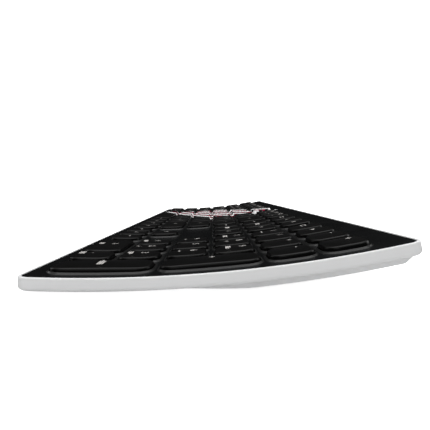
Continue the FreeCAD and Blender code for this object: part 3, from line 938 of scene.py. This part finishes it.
class Marks:
    """Flat printed marks: characters in Blender's own plain letters, and simple signs."""

    THIN = 0.13
    LETTER_HEIGHT = 0.7
    ARROW_HEAD = ((0.5, 0.0), (0.02, 0.34), (0.02, -0.34))
    TURNS = {"right": (1, 0, 0, 1), "up": (0, -1, 1, 0), "left": (-1, 0, 0, -1), "down": (0, 1, -1, 0)}
    STACKS = {
        "home": (1.2, 0.5, 1.2), "end": (0.5, 1.2, 1.2), "pgup": (1.2, 1.2, 0.3), "pgdn": (0.3, 1.2, 0.9),
        "insert": (0.9, 0.9, 0.9),
    }

    def __init__(self) -> None:
        """Starts with no mark drawn yet."""
        self.drawn: dict[str, Outline] = {}

    def character(self, text: str) -> Outline:
        """The outline of a short run of letters, one unit high and centred.

        Args:
            text: The letters.

        Returns:
            Its points and faces.
        """
        curve = bpy.data.curves.new("mark", "FONT")
        curve.body = text
        curve.resolution_u = 3
        holder = link_object("mark", curve)
        mesh = evaluated_mesh(holder)
        pairs = [(v.co.x / self.LETTER_HEIGHT, v.co.y / self.LETTER_HEIGHT) for v in mesh.vertices]
        faces = [tuple(p.vertices) for p in mesh.polygons]
        bpy.data.objects.remove(holder)
        bpy.data.curves.remove(curve)
        bpy.data.meshes.remove(mesh)
        middle = (min(p[0] for p in pairs) + max(p[0] for p in pairs)) / 2
        return [(x - middle, y - 0.5) for x, y in pairs], faces

    def bar(self, x0: float, y0: float, x1: float, y1: float) -> list[Pair]:
        """An upright rectangle."""
        return [(x0, y0), (x1, y0), (x1, y1), (x0, y1)]

    def ring_of(self, radius: float, sides: int) -> list[list[Pair]]:
        """A thin ring or outline.

        Args:
            radius: Its radius.
            sides: How many sides it has.

        Returns:
            Its polygons.
        """
        outer = circle(radius, sides)
        share = 1 - 1.6 * self.THIN / radius
        inner = [(x * share, y * share) for x, y in outer]
        return [[outer[i - 1], outer[i], inner[i], inner[i - 1]] for i in range(sides)]

    def arrow(self, way: str) -> list[list[Pair]]:
        """An arrow.

        Args:
            way: Where it points.

        Returns:
            Its polygons.
        """
        a, b, c, d = self.TURNS[way]
        shapes = [self.ARROW_HEAD, self.bar(-0.5, -self.THIN / 2, 0.02, self.THIN / 2)]
        return [[(a * x + b * y, c * x + d * y) for x, y in shape] for shape in shapes]

    def stack(self, spans: Sequence[Pair]) -> list[list[Pair]]:
        """Thick bars one above another, each from and to the given places."""
        return [self.bar(a, 0.36 * i - 0.5, b, 0.36 * i - 0.22) for i, (a, b) in enumerate(spans)]

    def sign(self, name: str) -> list[list[Pair]]:
        """The polygons of a named sign, one unit high and centred.

        Args:
            name: The sign's name.

        Returns:
            Its polygons.
        """
        if name in self.TURNS:
            return self.arrow(name)
        if name in self.STACKS:
            return self.stack([(-1.0, end) for end in self.STACKS[name]])
        t, bar = self.THIN, self.bar
        low_stack = self.stack(((-0.8, 1.4), (-1.2, 1.4), (-0.8, 1.4)))
        signs = {
            "dash": [bar(-0.8, -t, 0.8, t)],
            "dot": [bar(-0.18, -0.18, 0.18, 0.18)],
            "ring": self.ring_of(0.5, 16),
            "diamond": self.ring_of(0.5, 4),
            "frame": [bar(-0.7, 0.35, 0.7, 0.5), bar(-0.7, -0.5, 0.7, -0.35), bar(-0.7, -0.35, -0.55, 0.35),
                      bar(0.55, -0.35, 0.7, 0.35)],
            "list": [bar(-0.5, y - t / 2, 0.5, y + t / 2) for y in (-0.4, 0.0, 0.4)],
            "pause": [bar(-0.3, -0.45, -0.1, 0.45), bar(0.1, -0.45, 0.3, 0.45)],
            "play": [[(-0.3, 0.45), (-0.3, -0.45), (0.5, 0.0)]],
            "shift": [[(-0.5, 0.0), (0.5, 0.0), (0.0, 0.5)], bar(-0.2, -0.5, 0.2, 0.0)],
            "caps": [[(-0.5, 0.05), (0.5, 0.05), (0.0, 0.5)], bar(-0.2, -0.25, 0.2, 0.05), bar(-0.2, -0.5, 0.2, -0.36)],
            "tab": self.arrow("right") + [bar(0.5, -0.4, 0.5 + t, 0.4)],
            "enter": [[(x + 0.45, 0.9 * y - 0.9) for x, y in part] for part in low_stack],
            "return": self.arrow("left") + [bar(0.5 - t, 0.0, 0.5, 0.5)],
        }
        return signs[name]

    def shape(self, mark: str) -> Outline:
        """The points and faces of a mark, drawn the first time that it is asked for.

        Args:
            mark: Letters, or a sign's name between angle brackets.

        Returns:
            The points and faces.
        """
        if mark not in self.drawn:
            if mark.startswith("<"):
                points: list[Pair] = []
                faces: list[tuple[int, ...]] = []
                for polygon in self.sign(mark[1:-1]):
                    faces.append(tuple(range(len(points), len(points) + len(polygon))))
                    points += polygon
                self.drawn[mark] = points, faces
            else:
                self.drawn[mark] = self.character(mark)
        return self.drawn[mark]


@dataclass
class KeyField:
    """All the keys, each group on its own body, with what is printed on them."""

    cap: Keycap = field(default_factory=Keycap)
    marks: Marks = field(default_factory=Marks)
    left: float = -4.8 * MM
    upper_v: float = -0.3 * MM
    lower_v: float = -6.4 * MM
    single_v: float = 0.6 * MM
    drift: float = 1.4 * MM
    drift_rows: int = 3
    upper_size: float = 3.1 * MM
    lower_size: float = 2.2 * MM
    sign_size: float = 2.6 * MM
    lift: float = 0.025 * MM

    def print_mark(self, key: Key, mark: str, v: float, size: float, shell: Shell) -> None:
        """Adds one printed mark to a mesh.

        Args:
            key: The key it is on.
            mark: The mark.
            v: How far behind the key's centre it is.
            size: Its height.
            shell: The mesh.
        """
        place = key.place()
        room = key.rect(self.cap.corner).depth / 2 - self.cap.edge - self.cap.draft - size / 2
        v = max(-room, min(room, v))
        pairs, faces = self.marks.shape(mark)
        first = len(shell.points)
        for x, y in pairs:
            u, w = self.left + x * size, v + y * size
            shell.points.append(place(u, w, self.cap.top(key, u, w) + self.lift))
            shell.flat.append((u, w))
        shell.faces += [tuple(first + i for i in face) for face in faces]

    def print_key(self, key: Key, shell: Shell) -> None:
        """Adds everything printed on one key to a mesh.

        Args:
            key: The key.
            shell: The mesh.
        """
        sign = key.upper.startswith("<")
        single = sign or key.wide > 1 or key.deep > 1
        drift = self.drift * min(key.row, self.drift_rows)
        if key.upper:
            v = self.single_v if single else self.upper_v + drift
            self.print_mark(key, key.upper, v, self.sign_size if sign else self.upper_size, shell)
        if key.lower:
            self.print_mark(key, key.lower, self.lower_v + drift, self.lower_size, shell)

    def build(self) -> None:
        """Builds every group of keys and its print."""
        for node, keys in key_groups().items():
            shell, ink = Shell(CURVE.at), Shell(CURVE.at)
            for key in keys:
                self.cap.add(key, shell)
                self.print_key(key, ink)
            put(shell.piece(f"caps_{node}", 40.0), KEY_PLASTIC, node, node, "keycaps")
            if ink.faces:
                marks = ink.piece(f"print_{node}")
                LEGEND_INK.dress(marks)
                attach(marks, node)


# Deck


@dataclass
class Deck:
    """The black top plate, with a rounded lip round the well of every key."""

    half: float = FIELD_WIDTH / 2 + 4.1 * MM
    front: float = -4.8 * MM
    rear: float = FIELD_LENGTH + 11.2 * MM
    thickness: float = 1.2 * MM
    corner: float = 3.3 * MM
    clearance: float = 0.4 * MM
    lip_width: float = 0.75 * MM
    lip_height: float = 0.55 * MM
    lip_shares: tuple[Pair, ...] = (
        (1.12, 0.0), (1.0, 0.02), (0.8, 0.16), (0.5, 0.55), (0.3, 0.84), (0.16, 0.97), (0.05, 1.0),
    )
    edge: float = 0.3 * MM
    border: float = 0.1 * MM
    fill_pitch: float = 6 * MM

    def rect(self) -> RoundedRect:
        """The plate's outline."""
        middle = (self.front + self.rear) / 2
        return RoundedRect(0, middle, 2 * self.half, self.rear - self.front, self.corner, 10, 4 * MM)

    def lip(self) -> list[Pair]:
        """The lip's profile, from its foot down into the well.

        Returns:
            Its spread outside the keycap and its heights.
        """
        profile = [(self.clearance + self.lip_width * a, self.lip_height * b) for a, b in self.lip_shares]
        inside = (self.lip_height - 0.08 * MM, self.lip_height - 0.25 * MM, -self.thickness)
        return profile + [(self.clearance, n) for n in inside]

    def build(self) -> None:
        """Builds the plate and puts it in the CAD plate's place."""
        shell = Shell(CURVE.at)
        levels = [(-self.edge - self.border, 0.0)]
        levels += [(-inset, -drop) for inset, drop in reversed(arc_steps(self.edge, self.edge, 3))]
        border = shell.rings(self.rect(), levels + [(0.0, -self.thickness)])
        shell.loft(border)
        first = len(shell.faces)
        keys = [key for group in key_groups().values() for key in group]
        wells = [shell.rings(key.rect(Keycap.corner, *key.centre()), self.lip()) for key in keys]
        for rings in wells:
            shell.loft(rings)
        last = len(shell.faces)
        shell.fill(border[0], [rings[0] for rings in wells], 0.0, self.fill_pitch)
        shell.fill(border[-1], [rings[-1] for rings in wells], -self.thickness, self.fill_pitch)
        plate = shell.piece("deck_plate", 50.0)
        put(plate, DECK_PLASTIC, "top_frame")
        # The lip faces take the lighter finish, whose colour is a painted highlight.
        plate.data.materials.append(LIP_HIGHLIGHT_PLASTIC.material())
        for face in plate.data.polygons[first:last]:
            face.material_index = 1


# Lower shell


@dataclass(frozen=True)
class Recess:
    """A straight-sided cut, drawn in the frame that touches the deck at its place."""

    name: str
    x: float
    s: float
    plan: Sequence[Pair]
    low: float
    high: float

    def cutter(self) -> bpy.types.Object:
        """The form that is cut away.

        Returns:
            The cutter.
        """
        shell = Shell(CURVE.tangent(self.x, self.s))
        shell.solid([shell.ring(self.plan, self.low), shell.ring(self.plan, self.high)])
        return shell.piece(self.name)


def box(width: float, front: float, back: float) -> list[Pair]:
    """The corners of a rectangle in plan, with its front and back at the given places."""
    return [(-width / 2, front), (width / 2, front), (width / 2, back), (-width / 2, back)]


@dataclass
class Tray:
    """The white lower shell: rim, wall, raised back, battery bay and leg pockets."""

    half: float = FIELD_WIDTH / 2 + 5.3 * MM
    front: float = -6 * MM
    rear: float = FIELD_LENGTH + 12.4 * MM
    corner: float = 4.5 * MM
    depth: float = 4.6 * MM
    floor: float = 1.4 * MM
    rim: float = 1.08 * MM
    rim_drop: float = 1.2 * MM
    rim_round: float = 0.35 * MM
    rim_flat: float = 0.1 * MM
    wall: float = 1.42 * MM
    foot_round: float = 1.5 * MM
    foot_flat: float = 0.25 * MM
    crease: float = 0.15 * MM
    fine_pitch: float = 5 * MM
    coarse_pitch: float = 8 * MM
    riser_half: float = FIELD_WIDTH / 2 + 3.3 * MM
    riser_front: float = 70 * MM
    riser_rear: float = 120 * MM
    riser_depth: float = 6.6 * MM
    riser_shares: tuple[Pair, ...] = ((0.97, 0.04), (0.75, 0.24), (0.5, 0.52), (0.25, 0.78), (0.08, 0.94))
    front_ramp: float = 24 * MM
    rear_ramp: float = 3.5 * MM
    bay_width: float = 60 * MM
    bay_length: float = 25 * MM
    bay_depth: float = 8 * MM
    bay_reach: float = 0.83 * MM
    bay_corner: float = 3 * MM
    bay_profile: tuple[Pair, ...] = ((0.65, -6.9), (0.2, -7.7), (0.0, -7.9), (-0.15, -7.98), (-0.4, -8.0))
    door_front: float = -11.4 * MM
    door_back: float = 25 * MM
    door_top: float = -7.1 * MM
    groove_width: float = 52.2 * MM
    groove_low: float = -7.7 * MM
    mouth_width: float = 50.2 * MM
    seat_radius: float = 10.3 * MM
    seat_low: float = -7.4 * MM
    seat_top: float = -3.7 * MM
    switch_x: float = 110 * MM
    switch_s: float = 102 * MM
    switch_width: float = 10 * MM
    switch_half: float = 2 * MM
    switch_top: float = -5.7 * MM
    pocket_width: float = 20.4 * MM
    pocket_front: float = -9.9 * MM
    pocket_back: float = 1.62 * MM
    pocket_low: float = -12.8 * MM
    pocket_top: float = -3.6 * MM
    head_radius: float = 1.75 * MM
    clear: float = -9 * MM
    clear_bay: float = -16 * MM

    def rect(self) -> RoundedRect:
        """The shell's outline."""
        middle = (self.front + self.rear) / 2
        return RoundedRect(0, middle, 2 * self.half, self.rear - self.front, self.corner, 12, 4 * MM)

    def riser_ring(self, share: float, spread: float = 0.0) -> list[Pair]:
        """The raised section's outline, whose front and back slope and whose ends are upright.

        Args:
            share: How much of its ramps it takes in.
            spread: How far outside the section it stands.

        Returns:
            The points as pairs.
        """
        length = self.riser_rear - self.riser_front
        middle = (self.riser_front + self.riser_rear) / 2
        face = RoundedRect(0, middle, 2 * self.riser_half, length, 0.8 * MM, 4, self.fine_pitch)
        low = self.riser_front - self.front_ramp * share
        stretch = (self.riser_rear + self.rear_ramp * share - low) / length
        return [(x, low + (s - self.riser_front) * stretch) for x, s in face.outline(spread)]

    def recesses(self) -> list[Recess]:
        """Everything that is cut from the shell.

        Returns:
            The recesses.
        """
        groove = box(self.groove_width, self.door_front, self.door_back)
        mouth = box(self.mouth_width, self.door_front, self.door_back)
        made = [
            Recess("cut_groove", 0, BAY_S, groove, self.groove_low, self.door_top),
            Recess("cut_mouth", 0, BAY_S, mouth, self.clear_bay, self.door_top),
        ]
        for name, x in (("cut_seat_left", -CELL_X), ("cut_seat_right", CELL_X)):
            made.append(Recess(name, 0, BAY_S, circle(self.seat_radius, 64, x), self.seat_low, self.seat_top))
        slot = box(self.switch_width, -self.switch_half, self.switch_half)
        made.append(Recess("cut_slot", self.switch_x, self.switch_s, slot, self.clear, self.switch_top))
        pocket = box(self.pocket_width, self.pocket_front, self.pocket_back)
        for side in (-1, 1):
            made.append(Recess(f"cut_pocket_{side}", side * LEG_X, LEG_S, pocket, self.pocket_low, self.pocket_top))
        for x in SCREW_X:
            head = circle(self.head_radius, 64)
            made.append(Recess(f"cut_head_{x}", x * MM, SCREW_S, head, self.clear, self.pocket_top))
        return made

    def wall_rings(self, shell: Shell) -> list[list[int]]:
        """Adds the rings of the rim, the wall and the rounded foot.

        Args:
            shell: The mesh.

        Returns:
            The rings, from the inside of the rim to the underside.
        """
        rim, edge, foot = self.rim, self.rim_round, self.foot_round
        levels = [(-rim, -self.rim_drop), (-rim, -edge / 2), (-rim + self.rim_flat, 0.0), (-edge - self.rim_flat, 0.0)]
        levels += [(-inset, -drop) for inset, drop in reversed(arc_steps(edge, edge, 4))]
        levels += [(0.0, -edge - self.crease), (0.0, -self.depth + foot + self.crease)]
        levels += [(-inset, -self.depth + drop) for inset, drop in arc_steps(foot, foot, 7)]
        return shell.rings(self.rect(), levels + [(-foot - self.foot_flat, -self.depth)])

    def riser_rings(self, shell: Shell) -> list[list[int]]:
        """Adds the rings of the raised section.

        Args:
            shell: The mesh.

        Returns:
            The rings, from the underside to the section's face.
        """
        drop = self.riser_depth - self.depth
        rings = [shell.ring(self.riser_ring(1.0, self.crease), -self.depth)]
        rings += [shell.ring(self.riser_ring(share), -self.depth - drop * part) for share, part in self.riser_shares]
        rings.append(shell.ring(self.riser_ring(0.02, -0.1 * MM), -self.riser_depth + 0.05 * MM))
        rings.append(shell.ring(self.riser_ring(0.0, -0.4 * MM), -self.riser_depth))
        return rings

    def outside(self) -> bpy.types.Object:
        """The shell before its recesses are cut.

        Returns:
            The shell.
        """
        shell = Shell(CURVE.at)
        rings = self.wall_rings(shell)
        shell.loft(rings)
        riser = self.riser_rings(shell)
        shell.loft(riser)
        shell.fill(rings[-1], [riser[0]], -self.depth, self.fine_pitch)
        place = CURVE.tangent(0, BAY_S)
        size = (self.bay_width, self.bay_length, self.bay_corner, 8, self.fine_pitch)
        bay = shell.rings(RoundedRect(0, BAY_S, *size), ((self.bay_reach + self.crease, -self.riser_depth),))
        bay += shell.rings(RoundedRect(0, 0, *size), millimetres(self.bay_profile), place)
        shell.loft(bay)
        shell.fill(riser[-1], [bay[0]], -self.riser_depth, self.fine_pitch)
        shell.fill(bay[-1], [], -self.bay_depth, self.coarse_pitch, place)
        floor = -self.depth + self.floor
        inner = -self.rim - self.wall
        inside = shell.rings(self.rect(), ((inner, -self.rim_drop), (inner, floor)))
        shell.bridge(rings[0], inside[0])
        shell.loft(inside)
        shell.fill(inside[-1], [], floor, self.coarse_pitch)
        return shell.piece("tray_shell")

    def build(self) -> None:
        """Builds the shell, cuts its recesses and puts it in the CAD shell's place."""
        tray = self.outside()
        tools = [recess.cutter() for recess in self.recesses()]
        for tool in tools:
            step = tray.modifiers.new(tool.name, "BOOLEAN")
            step.operation = "DIFFERENCE"
            step.solver = "EXACT"
            step.object = tool
        mesh = evaluated_mesh(tray)
        tray.modifiers.clear()
        tray.data = mesh
        for tool in tools:
            bpy.data.objects.remove(tool)
        smooth(tray)
        put(tray, WHITE_PLASTIC, "base_tray")


@dataclass
class DomeMat:
    """The silicone sheet, with a dome under every key."""

    half: float = FIELD_WIDTH / 2 + 1.8 * MM
    front: float = -2.5 * MM
    corner: float = 2 * MM
    level: float = 2.1 * MM
    thickness: float = 0.3 * MM
    pitch: float = 10 * MM
    keep: float = 0.06
    profile: tuple[Pair, ...] = (
        (4.2, 0.0), (4.1, 0.14), (3.8, 0.36), (3.3, 0.78), (2.9, 1.16), (2.7, 1.4), (2.5, 1.53), (2.3, 1.6),
        (1.5, 1.6), (1.4, 1.5), (0.6, 1.48),
    )

    def sheet(self) -> None:
        """Builds the sheet."""
        shell = Shell(CURVE.at)
        middle = (self.front + FIELD_LENGTH) / 2
        rect = RoundedRect(0, middle, 2 * self.half, FIELD_LENGTH - self.front, self.corner, 5, 8 * MM)
        top, bottom = -self.level, -self.level - self.thickness
        upper, lower = shell.rings(rect, ((0.0, top), (0.0, bottom)))
        shell.bridge(upper, lower)
        shell.fill(upper, [], top, self.pitch)
        shell.fill(lower, [], bottom, self.pitch)
        put(shell.piece("dome_sheet"), SILICONE, "dome_mat")

    def domes(self, node: str, keys: Sequence[Key]) -> None:
        """Builds the domes under keys of one row.

        Args:
            node: The keys' CAD node.
            keys: The keys.
        """
        shell = Shell(CURVE.at)
        profile = [(radius * MM, height * MM - self.level) for radius, height in self.profile]
        for key in keys:
            lathe(shell, profile, key.place(), sides=32)
        piece = shell.piece(f"domes_{node}_{int(keys[0].row)}")
        put(piece, SILICONE, "dome_mat")
        base = keys[0].place()(0, 0, -self.level)
        axis = CURVE.normal(keys[0].centre()[1])
        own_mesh(piece)

    def build(self) -> None:
        """Builds the sheet and all the domes."""
        self.sheet()
        for node, keys in key_groups().items():
            for row in sorted({key.row for key in keys}):
                self.domes(node, [key for key in keys if key.row == row])


def above_desk(place: Place) -> Place:
    """A frame that never reaches below the desk.

    Args:
        place: The frame that it follows above the desk.

    Returns:
        The new frame's function.
    """

    def held(u: float, v: float, n: float) -> Vector:
        """The place in the frame, moved up to the desk where it is below it.

        Args:
            u: Distance to the right.
            v: Distance to the back.
            n: Height.

        Returns:
            The point in the shared frame.
        """
        spot = place(u, v, n)
        spot.z = max(spot.z, 0.0)
        return spot

    return held


@dataclass
class Hardware:
    """The pads, screws and coin cells under the case, with their profiles in millimetres."""

    pad: RoundedRect = field(default_factory=lambda: RoundedRect(0, 0, 24 * MM, 7 * MM, 2 * MM, 6, 2 * MM))
    front_pad: Pair = (185 * MM, 8 * MM)
    front_profile: tuple[Pair, ...] = ((0, -4.6), (0, -5.3), (-0.08, -5.42), (-0.3, -5.6))
    rear_pad: Pair = (145 * MM, 82 * MM)
    rear_profile: tuple[Pair, ...] = ((0, -6.6), (0, -7.65), (-0.1, -7.88), (-0.35, -8))
    screw_profile: tuple[Pair, ...] = (
        (0.8, -1.3), (0.8, -3.6), (1.7, -3.6), (1.7, -4.15), (1.62, -4.28), (1.45, -4.37), (1.2, -4.4),
    )
    screw_sides: int = 48
    cross_profile: tuple[Pair, ...] = ((1.0, -4.4), (0.8, -3.95))
    cross_reach: float = 0.85
    cross_waist: float = 0.3
    cell_profile: tuple[Pair, ...] = (
        (8.7, -3.9), (8.8, -4.0), (8.8, -4.18), (9.3, -4.2), (9.8, -4.26), (10, -4.5), (10, -6.8), (9.9, -7.0),
        (9.7, -7.1), (8.2, -7.1), (8.1, -7.05), (7.8, -7.05), (7.7, -7.1),
    )

    def pads(self) -> None:
        """Builds the rubber pads: the front ones are level with the desk."""
        front, rear = Shell(CURVE.at), Shell(CURVE.at)
        for side in (-1, 1):
            low = above_desk(CURVE.tangent(side * self.front_pad[0], self.front_pad[1]))
            front.solid(front.rings(self.pad, millimetres(self.front_profile), low))
            high = CURVE.tangent(side * self.rear_pad[0], self.rear_pad[1])
            rear.solid(rear.rings(self.pad, millimetres(self.rear_profile), high))
        put(front.piece("front_pads_round"), RUBBER, "front_pads")
        put(rear.piece("rear_pads_round"), RUBBER, "rear_pads")

    def cross(self, share: float) -> list[Pair]:
        """The outline of the cross in a screw's head.

        Args:
            share: Its size, as a share of the whole cross.

        Returns:
            The points as pairs.
        """
        quarter = self.screw_sides // 4
        points = []
        for i, (u, v) in enumerate(circle(1.0, self.screw_sides)):
            arm = min(i % quarter, quarter - i % quarter) < 2
            reach = (self.cross_reach if arm else self.cross_waist) * share * MM
            points.append((reach * u, reach * v))
        return points

    def screws(self) -> None:
        """Builds the case screws, with a cross in each head."""
        shell = Shell(CURVE.at)
        for x in SCREW_X:
            place = CURVE.tangent(x * MM, SCREW_S)
            head = [(circle(radius * MM, self.screw_sides), n) for radius, n in self.screw_profile]
            head += [(self.cross(share), n) for share, n in self.cross_profile]
            shell.solid([shell.ring(plan, n * MM, place) for plan, n in head])
        put(shell.piece("cross_screws"), DARK_STEEL, "case_screws")

    def cells(self) -> None:
        """Builds the coin cells: a can with a rolled edge, and the smaller cap on its inner face."""
        shell = Shell(CURVE.at)
        for x in (-CELL_X, CELL_X):
            lathe(shell, millimetres(self.cell_profile), CURVE.tangent(0, BAY_S), x, 64)
        put(shell.piece("round_cells"), STEEL, "coin_cells")

    def build(self) -> None:
        """Builds all of it."""
        self.pads()
        self.screws()
        self.cells()


@dataclass
class Leg:
    """One tilt leg, open and leaning back, with its barrel, pins and rubber toe pad."""

    side: int
    width: float = 20 * MM
    depth: float = 5 * MM
    pad_height: float = 0.8 * MM
    pad_length: float = 3.6 * MM
    pad_back: float = 0.6 * MM
    lean: float = math.radians(18)
    half: float = 1.26 * MM
    toe_front: float = 1.2 * MM
    toe_back: float = 2.4 * MM
    toe_height: float = 0.9 * MM
    toe_rise: float = 1.8 * MM
    rounding: float = 0.3 * MM
    barrel: float = 1.3 * MM
    pin: float = 0.8 * MM
    pin_tip: float = 0.6 * MM
    pin_length: float = 1.6 * MM
    tip_length: float = 0.2 * MM
    ends: tuple[Pair, ...] = ((-1, 0.12), (-0.985, 0.03), (-0.96, 0), (0.96, 0), (0.985, 0.03), (1, 0.12))

    def pivot(self) -> Vector:
        """The middle of the hinge axis."""
        return CURVE.tangent(self.side * LEG_X, LEG_S)(0, 0, -self.depth)

    def toe(self) -> Pair:
        """The middle of the toe's lower face, as y and z from the pivot."""
        drop = self.pivot().z - self.pad_height
        return drop * math.tan(self.lean), -drop

    def across(self, u: float, v: float, n: float) -> Vector:
        """A place by y and z from the pivot and by the distance along the hinge axis."""
        return self.pivot() + Vector((n, u, v))

    def blade(self) -> list[Pair]:
        """The leg's outline seen along its hinge axis, with its corners rounded off.

        Returns:
            The points, as y and z from the pivot.
        """
        y, z = self.toe()
        front, back = y - self.toe_front, y + self.toe_back
        corners = [(-self.half, 0.0), (self.half, 0.0), (y + self.half, z + self.toe_rise),
                   (back, z + self.toe_height), (back, z), (front, z), (front, z + self.toe_height)]
        points = []
        for i, (b, c) in enumerate(corners):
            for other in (corners[i - 1], corners[(i + 1) % len(corners)]):
                share = min(0.45, self.rounding / math.hypot(other[0] - b, other[1] - c))
                points.append((b + (other[0] - b) * share, c + (other[1] - c) * share))
        return points

    def build(self) -> None:
        """Builds the leg and its pad."""
        name = "left" if self.side < 0 else "right"
        shell = Shell(self.across)
        outline = self.blade()
        middle = (sum(p[0] for p in outline) / len(outline), sum(p[1] for p in outline) / len(outline))
        half = self.width / 2
        rings = []
        for along, inset in self.ends:
            pairs = [(u + (middle[0] - u) * inset, v + (middle[1] - v) * inset) for u, v in outline]
            rings.append(shell.ring(pairs, along * half))
        shell.solid(rings)
        end = half + self.pin_length
        barrel = [(self.pin_tip, end), (self.pin, end - self.tip_length), (self.pin, half), (self.barrel, half)]
        lathe(shell, [(radius, -n) for radius, n in barrel] + barrel[::-1], self.across, sides=32)
        put(shell.piece(f"leg_{name}"), WHITE_PLASTIC, f"tilt_leg_{name}", f"leg_{name}")
        y, z = self.toe()
        origin = self.pivot()
        pad = Shell(lambda u, v, n: origin + Vector((u, v, n)))
        rect = RoundedRect(0, y + self.pad_back, self.width, self.pad_length, 0.5 * MM, 4, 2 * MM)
        levels = ((0.0, z), (0.0, z - 0.5 * MM), (-0.09 * MM, z - 0.7 * MM), (-0.3 * MM, z - self.pad_height))
        pad.solid(pad.rings(rect, levels))
        put(pad.piece(f"toe_{name}"), PALE_RUBBER, f"leg_pad_{name}", f"leg_{name}")


@dataclass
class Fittings:
    """The smaller parts whose CAD shapes stay, with their own finishes."""

    finishes: dict[str, Finish] = field(default_factory=lambda: {
        "membrane_circuit": FILM,
        "support_plate": STEEL,
        "controller_board": BOARD,
        "battery_contacts": STEEL,
        "battery_door": WHITE_PLASTIC,
        "power_switch": GREY_PLASTIC,
    })

    def build(self) -> None:
        """Gives each CAD node its finish."""
        for node, finish in self.finishes.items():
            finish.dress(frame["nodes"][node])
            log.info("fitting %s: %s", node, finish.name)


# The studio


@dataclass(frozen=True)
class SoftLight:
    """One soft square light: where it hangs, its side and its power in watts."""

    name: str
    place: tuple[float, float, float]
    size: float
    power: float

    def hang(self, aim: Vector) -> None:
        """Hangs the light.

        Args:
            aim: What it points at.
        """
        data = bpy.data.lights.new(self.name, "AREA")
        data.shape = "SQUARE"
        data.size = self.size
        data.energy = self.power
        made = link_object(self.name, data)
        made.location = self.place
        made.rotation_euler = (aim - Vector(self.place)).to_track_quat("-Z", "Y").to_euler()


@dataclass
class Studio:
    """The pale floor, the soft lights and the camera."""

    eye: tuple[float, float, float] = (341.8 * MM, -2.5 * MM, 33.7 * MM)
    yaw: float = math.radians(-0.39)
    pitch: float = math.radians(3.72)
    lens: float = 32.47
    sensor: float = 36.0
    aim: tuple[float, float, float] = (0, 0, 0.01)
    floor_reach: float = 12.0
    floor_glow: float = 0.94
    floor_shade: float = 0.8
    floor_in_gloss: float = 0.015
    sky_rise: tuple[float, float, float, float] = (0.38, 0.95, 0.0, 1.0)
    sky_low: tuple[float, float, float, float] = (0.0, 0.09, 0.018, 0.0)
    backdrop: float = 1.1
    lights: tuple[SoftLight, ...] = (
        SoftLight("overhead", (0.1, 0.0, 1.3), 1.6, 16),
        SoftLight("side_fill", (1.5, -0.4, 0.7), 0.9, 3.5),
        SoftLight("rear_fill", (-0.5, 1.5, 0.6), 0.9, 5),
        SoftLight("front_fill", (-0.5, -1.5, 0.6), 0.9, 3),
    )

    def camera(self) -> None:
        """Puts the camera where the photograph was taken from."""
        data = bpy.data.cameras.new("camera")
        data.lens = self.lens
        data.sensor_width = self.sensor
        data.clip_start = 0.005
        data.clip_end = 50
        made = link_object("camera", data)
        flat = math.cos(self.pitch)
        look = Vector((-flat * math.cos(self.yaw), -flat * math.sin(self.yaw), -math.sin(self.pitch)))
        made.location = self.eye
        made.rotation_euler = look.to_track_quat("-Z", "Y").to_euler()
        bpy.context.scene.camera = made

    def floor(self) -> None:
        """The floor, which is white to the camera and dark to glossy rays."""
        mesh = bpy.data.meshes.new("floor")
        reach = self.floor_reach
        mesh.from_pydata([(-reach, -reach, 0), (reach, -reach, 0), (reach, reach, 0), (-reach, reach, 0)], [],
                         [(0, 1, 2, 3)])
        made = link_object("floor", mesh)
        material = bpy.data.materials.new("pale_floor")
        graph = empty_graph(material)
        path = graph.add("ShaderNodeLightPath").outputs
        strength = graph.span(path["Is Camera Ray"], 0, 1, 0, self.floor_glow)
        glow = graph.add("ShaderNodeEmission", {"Color": (1, 1, 1, 1), "Strength": strength})
        shade = graph.span(path["Is Glossy Ray"], 0, 1, self.floor_shade, self.floor_in_gloss)
        matt = graph.add("ShaderNodeBsdfDiffuse", {"Color": shade})
        both = graph.add("ShaderNodeAddShader", {0: glow.outputs[0], 1: matt.outputs[0]})
        graph.add("ShaderNodeOutputMaterial", {"Surface": both.outputs[0]})
        made.data.materials.append(material)

    def sky(self) -> None:
        """A white backdrop that lights the part from above more than from the horizon."""
        world = bpy.data.worlds.new("studio")
        graph = empty_graph(world)
        where = graph.add("ShaderNodeTexCoord").outputs["Generated"]
        height = graph.add("ShaderNodeSeparateXYZ", {0: where}).outputs["Z"]
        power = graph.maths("ADD", graph.span(height, *self.sky_rise), graph.span(height, *self.sky_low))
        soft = graph.add("ShaderNodeBackground", {"Color": (1, 1, 1, 1), "Strength": power})
        plain = graph.add("ShaderNodeBackground", {"Color": (1, 1, 1, 1), "Strength": self.backdrop})
        seen = graph.add("ShaderNodeLightPath").outputs["Is Camera Ray"]
        both = graph.add("ShaderNodeMixShader", {0: seen, 1: soft.outputs[0], 2: plain.outputs[0]})
        graph.add("ShaderNodeOutputWorld", {"Surface": both.outputs[0]})
        bpy.context.scene.world = world

    def build(self) -> None:
        """Sets up the whole studio."""
        self.camera()
        self.floor()
        self.sky()
        for light in self.lights:
            light.hang(Vector(self.aim))
        bpy.context.scene.view_settings.view_transform = "Standard"


def main() -> None:
    """Builds the keyboard's sub-assemblies in order, then the studio round it."""
    logging.basicConfig(level=logging.INFO, format="%(name)s: %(message)s")
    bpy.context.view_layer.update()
    for effect in (Grain(), Dust(), Polish(), StripePrint()):
        effect.make()
    for part in (Fittings(), Tray(), Hardware(), Leg(-1), Leg(1), DomeMat(), Deck(), KeyField(), Studio()):
        known = set(bpy.data.objects.keys())
        part.build()
        for name in sorted(set(bpy.data.objects.keys()) - known):
            log.info("%s: %s", type(part).__name__, name)


if __name__ == "__main__":
    main()
